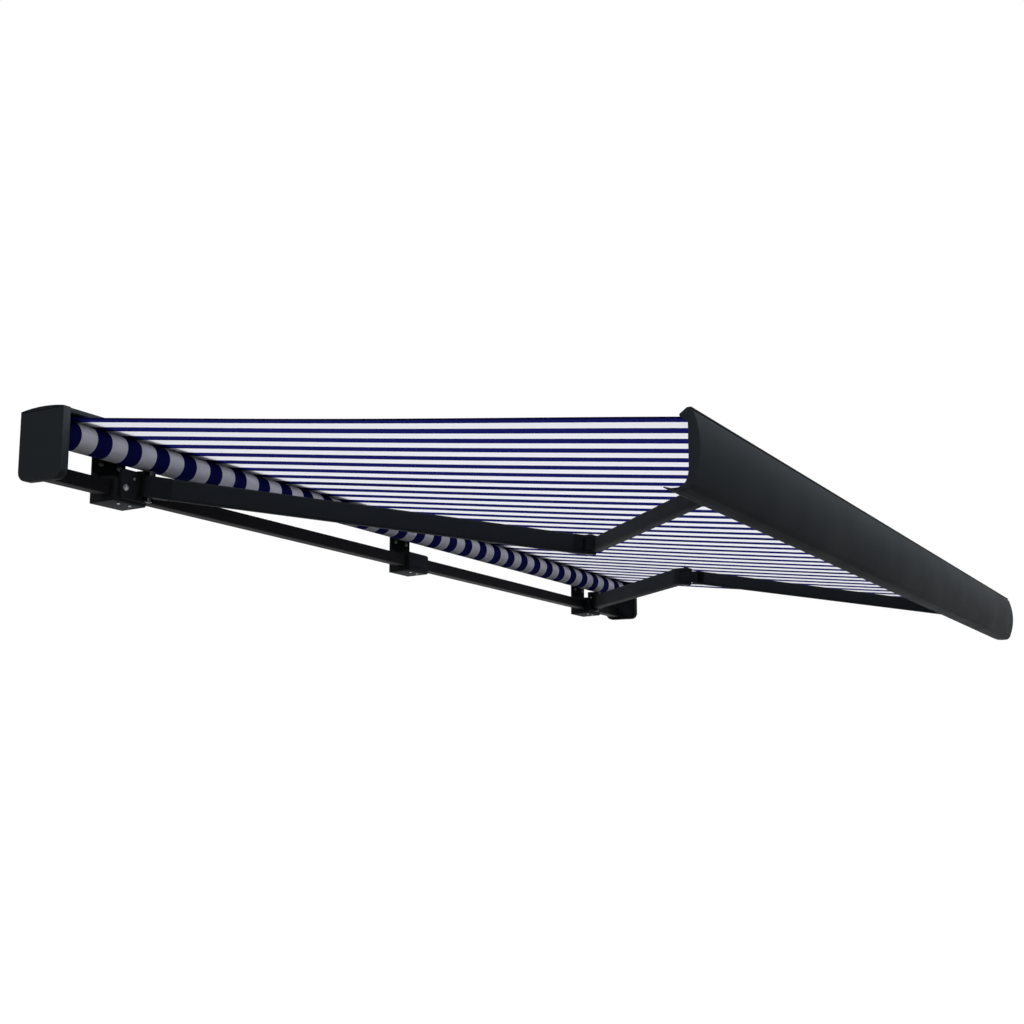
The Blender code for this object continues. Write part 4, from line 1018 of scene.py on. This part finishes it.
# %% [markdown]
# ## Shoulder and wrist brackets
#
# A shoulder bracket is one casting: a base flange against the bar clamp, two lugs round the arm's eye, and a
# pitch bolt that sets the slope. It is made here of plates with rounded rims, joined into one piece, because
# that gives the soft edges of sand casting with very few faces.

# %% Shoulder brackets with their bolts
SHOULDER_SLOT = UPPER_HEIGHT / 2 + PIVOT_GAP
SHOULDER_HALF = SHOULDER_SLOT + 0.014
BASE_THICK, BASE_OUT, BASE_IN = 0.012, 0.115, 0.045
FLANGE_SCREWS, FLANGE_SCREW_DROP = (0.049, -0.030), 0.030


def lug_pair(radius, part, back, wide, slot, half, rims, place):
    """Two lugs, over and under a slot: the given part of a circle, closed by a straight back."""
    line = np.concatenate([ring_points(radius, 64)[part], [(back, -wide), (back, wide)]])
    return [soft_plate("upper", line, slot, half, rims, place),
            soft_plate("under", line, -half, -slot, rims[::-1], place)]


for side, way in SIDES:
    at = np.array(joints[f"{side}_shoulder"]["pos_m"])
    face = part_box(f"shoulder_bracket_{side}")[1][1]
    place = arm_place(at, 0)
    x0, x1 = sorted((at[0] + way * BASE_OUT, at[0] - way * BASE_IN))
    low, high = at[2] - SHOULDER_HALF, at[2] + SHOULDER_HALF
    flange = [(x0, low), (x1, low), (x1, high), (x0, high)]
    radii = [0.014, 0.006, 0.006, 0.014] if way < 0 else [0.006, 0.014, 0.014, 0.006]
    base = soft_plate("base", rounded(flange, radii), 0, BASE_THICK, (0.0004, 0.003), from_wall(0, face, 0))
    lugs = lug_pair(SHOULDER_LUG, slice(17, 48), (at[1] - face) * 0.98, SHOULDER_LUG,
                    SHOULDER_SLOT, SHOULDER_HALF, (0.0006, 0.003), place)
    finish_piece(joined(f"shoulder_casting_{side}", [base, *lugs]), f"shoulder_bracket_{side}")
    pin = pivot_pin(f"shoulder_bolt_{side}", place, SHOULDER_HALF)
    finish_piece(pin, f"shoulder_pin_{side}", material=black_steel)
    x, _, z = extent(f"pitch_bolt_{side}")[0]
    seat = face - BASE_THICK - GAP
    bolt = hex_head(f"pitch_screw_{side}", 0.0175, 0.0072, 0.012, from_wall(x, seat, z))
    finish_piece(bolt, f"pitch_bolt_{side}")
    for number, aside in enumerate(FLANGE_SCREWS, 1):
        place = from_wall(at[0] + way * aside, seat, high - FLANGE_SCREW_DROP)
        screw = socket_head(f"flange_screw_{side}_{number}", 0.0065, 0.005, place)
        finish_piece(screw, like="wall_bolt_left_1")
print("shoulder brackets at", joints["left_shoulder"]["pos_m"])

# %% Wrist brackets
WRIST_TO_WEB, WRIST_LUG_HEIGHT = 0.050, 0.010
FRONT_BAR_WEB = joints["left_wrist"]["pos_m"][1] - WRIST_TO_WEB
WRIST_HALF = WRIST_SLOT + WRIST_LUG_HEIGHT
WRIST_BACK = (WRIST_TO_WEB - GAP) / -OUTWARD[1] - 0.004
WRIST_WIDE = WRIST_LUG + 0.006
for side, way in SIDES:
    at = wrist * [-way, 1, 1]
    place = arm_place(at, 0)
    lugs = lug_pair(WRIST_LUG, slice(20, 45), WRIST_BACK, WRIST_WIDE,
                    WRIST_SLOT, WRIST_HALF, (0.0005, 0.0025), place)
    flange = rounded(rectangle(at[[0, 2]], [WRIST_WIDE, WRIST_HALF]), 0.004, 5)
    base = soft_plate("base", flange, -0.009, 0, (0.002, 0.0004), from_wall(0, FRONT_BAR_WEB + GAP, 0))
    finish_piece(joined(f"wrist_casting_{side}", [*lugs, base]), f"wrist_bracket_{side}")
    pin = pivot_pin(f"wrist_bolt_{side}", place, WRIST_HALF)
    finish_piece(pin, f"wrist_pin_{side}", material=black_steel)
print("wrist brackets in the front bar")

# %% [markdown]
# ## The front bar
#
# This is the piece that everyone sees, so its face has the real extrusion's shape: a flat arch with a shadow
# groove under the top edge. Everything is one outline in (Y, Z). The groove is a narrow bump subtracted from
# the arch, which keeps its edges the same width along all five metres.

# %% Front bar section
bar_low, bar_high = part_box("front_profile")
BAR_END, TOP, BOTTOM = bar_high[0], bar_high[2], bar_low[2]
HEIGHT, BULGE, FACE_OUT = TOP - BOTTOM, 0.0225, 0.0115
FACE_SHARE, GROOVE_DROP, GROOVE_HALF, GROOVE_DEEP = 0.94, 0.0090, 0.0028, 0.0035
GROOVE_PLACES = (-1.6, -1.2, -0.8, -0.3, 0.3, 0.8, 1.2, 1.6)
LIP = bar_high[1]


def face_line():
    """The face from top to bottom: an arch 4 * bulge * s * (1 - s) with one groove cut into it."""
    near_groove = GROOVE_DROP + np.array(GROOVE_PLACES) * GROOVE_HALF
    drop = np.sort(np.concatenate([np.linspace(0, HEIGHT * FACE_SHARE, 40), near_groove]))
    s = drop / (HEIGHT * FACE_SHARE)
    dip = GROOVE_DEEP / (1 + ((drop - GROOVE_DROP) / GROOVE_HALF) ** 8)
    y = FRONT_BAR_WEB - FACE_OUT - 4 * BULGE * s * (1 - s) + dip
    return np.stack([y, TOP - drop], axis=-1)


def bar_section():
    """The whole outline, anticlockwise: the face, the curved underside and lip, the channel, and the hook.

    The corners are millimetres from the web, up from the bottom edge, and each has its own radius."""
    lip, high = (LIP - FRONT_BAR_WEB) / MM, HEIGHT / MM
    corners = np.array([
        (0, 2, 12), (28, 0, 30), (54, 2.5, 30), (lip, 10.5, 1.8), (lip, 14.5, 1.8), (52, 8, 20),
        (30, 8.5, 20), (12, 18, 20), (4, 34, 30), (0, 55, 30), (0, high - 40, 8), (16, high - 30, 6),
        (24, high - 24, 5), (24, high - 17, 4), (12, high - 8.5, 8), (2, high - 1, 6),
    ]) * MM
    face = face_line()
    ring = np.array([face[-1], *corners[:, :2] + [FRONT_BAR_WEB, BOTTOM], face[0]])
    soft = rounded(ring, [0, *corners[:, 2], 2 * MM], 5)
    return np.concatenate([face[1:-1], soft[5:]])


outline = bar_section()
finish_piece(soft_plate("front_extrusion", outline, -BAR_END, BAR_END, 0.0004), "front_profile")
for side in ("left", "right"):
    low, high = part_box(f"front_cap_{side}")
    finish_piece(soft_plate(f"front_end_cap_{side}", outline, low[0], high[0], 0.0011), f"front_cap_{side}")
print("front bar:", round(2 * BAR_END, 3), "m by", round(HEIGHT * 1000), "mm,", len(outline), "points round")

# %% [markdown]
# ## Studio
#
# The picture has a pure white ground, and its light comes mostly from above: the cloth glows from below while
# the undersides of bars and arms stay dark. A bright dome all round would wash those out, so the world fades
# from sky to ground, one wide lamp hangs overhead, a weak one stands at the near end, and only what the
# camera sees directly is plain white.

# %% World and lamps
SKY_LEVEL, GROUND_LEVEL, HORIZON_SHARE = 1.0, 0.05, 0.12


def seen_directly(tree):
    """1 for rays from the camera, from mirrors and through glass, and 0 for soft light."""
    path = add_node(tree, "LightPath").outputs
    seen = math_node(tree, "MAXIMUM", path["Is Camera Ray"], path["Is Glossy Ray"])
    return math_node(tree, "MAXIMUM", seen, path["Is Transmission Ray"])


world = bpy.data.worlds.new("studio")
bpy.context.scene.world = world
world.use_nodes = True
tree = world.node_tree
direction = add_node(tree, "TexCoord").outputs["Generated"]
up = add_node(tree, "SeparateXYZ", {0: direction}).outputs["Z"]
rise = math_node(tree, "ADD", math_node(tree, "MULTIPLY", up, 1 - HORIZON_SHARE), HORIZON_SHARE)
height = math_node(tree, "MULTIPLY", math_node(tree, "MAXIMUM", rise, 0.0), SKY_LEVEL - GROUND_LEVEL)
level = math_node(tree, "MAXIMUM", math_node(tree, "ADD", height, GROUND_LEVEL), seen_directly(tree))
feed(tree, tree.nodes["Background"], {"Color": (1, 1, 1, 1), "Strength": level})
bpy.context.scene.view_settings.view_transform = "Standard"


def soft_box(name, place, aim, size, power):
    """A square lamp at a place, turned so that its back points away from the aim."""
    data = bpy.data.lights.new(name, "AREA")
    data.energy, data.size = power, size
    lamp = shown(name, data)
    lamp.location = place
    lamp.rotation_euler = (Vector(place) - Vector(aim)).to_track_quat("Z", "Y").to_euler()


soft_box("overhead_lamp", (-0.5, -2.2, 5.0), (-0.2, -1.3, 0.0), 6.0, 450)
soft_box("near_lamp", (-6.5, -5.5, 0.5), (-1.0, -1.0, 0.0), 3.0, 28)
print("sky", SKY_LEVEL, "ground", GROUND_LEVEL)

# %% Floor with the object's shadow
FLOOR_HEIGHT, FLOOR_HALF, FLOOR_GLOW, FLOOR_COLOUR = -2.6, 150.0, 0.94, 0.08
x, y = np.meshgrid([-FLOOR_HALF, FLOOR_HALF], [-FLOOR_HALF, FLOOR_HALF])
floor = sheet_surface("floor", np.stack([x, y, np.full_like(x, FLOOR_HEIGHT)], axis=-1)[:, ::-1])
paper, tree, shader = new_material("white_floor")
feed(tree, shader, {
    "Base Color": (FLOOR_COLOUR, FLOOR_COLOUR, FLOOR_COLOUR, 1), "Roughness": 1.0, "Specular IOR Level": 0.0,
    "Emission Color": (1, 1, 1, 1),
    "Emission Strength": math_node(tree, "MULTIPLY", seen_directly(tree), FLOOR_GLOW),
})
floor.data.materials.append(paper)
print("floor at", FLOOR_HEIGHT, "m")
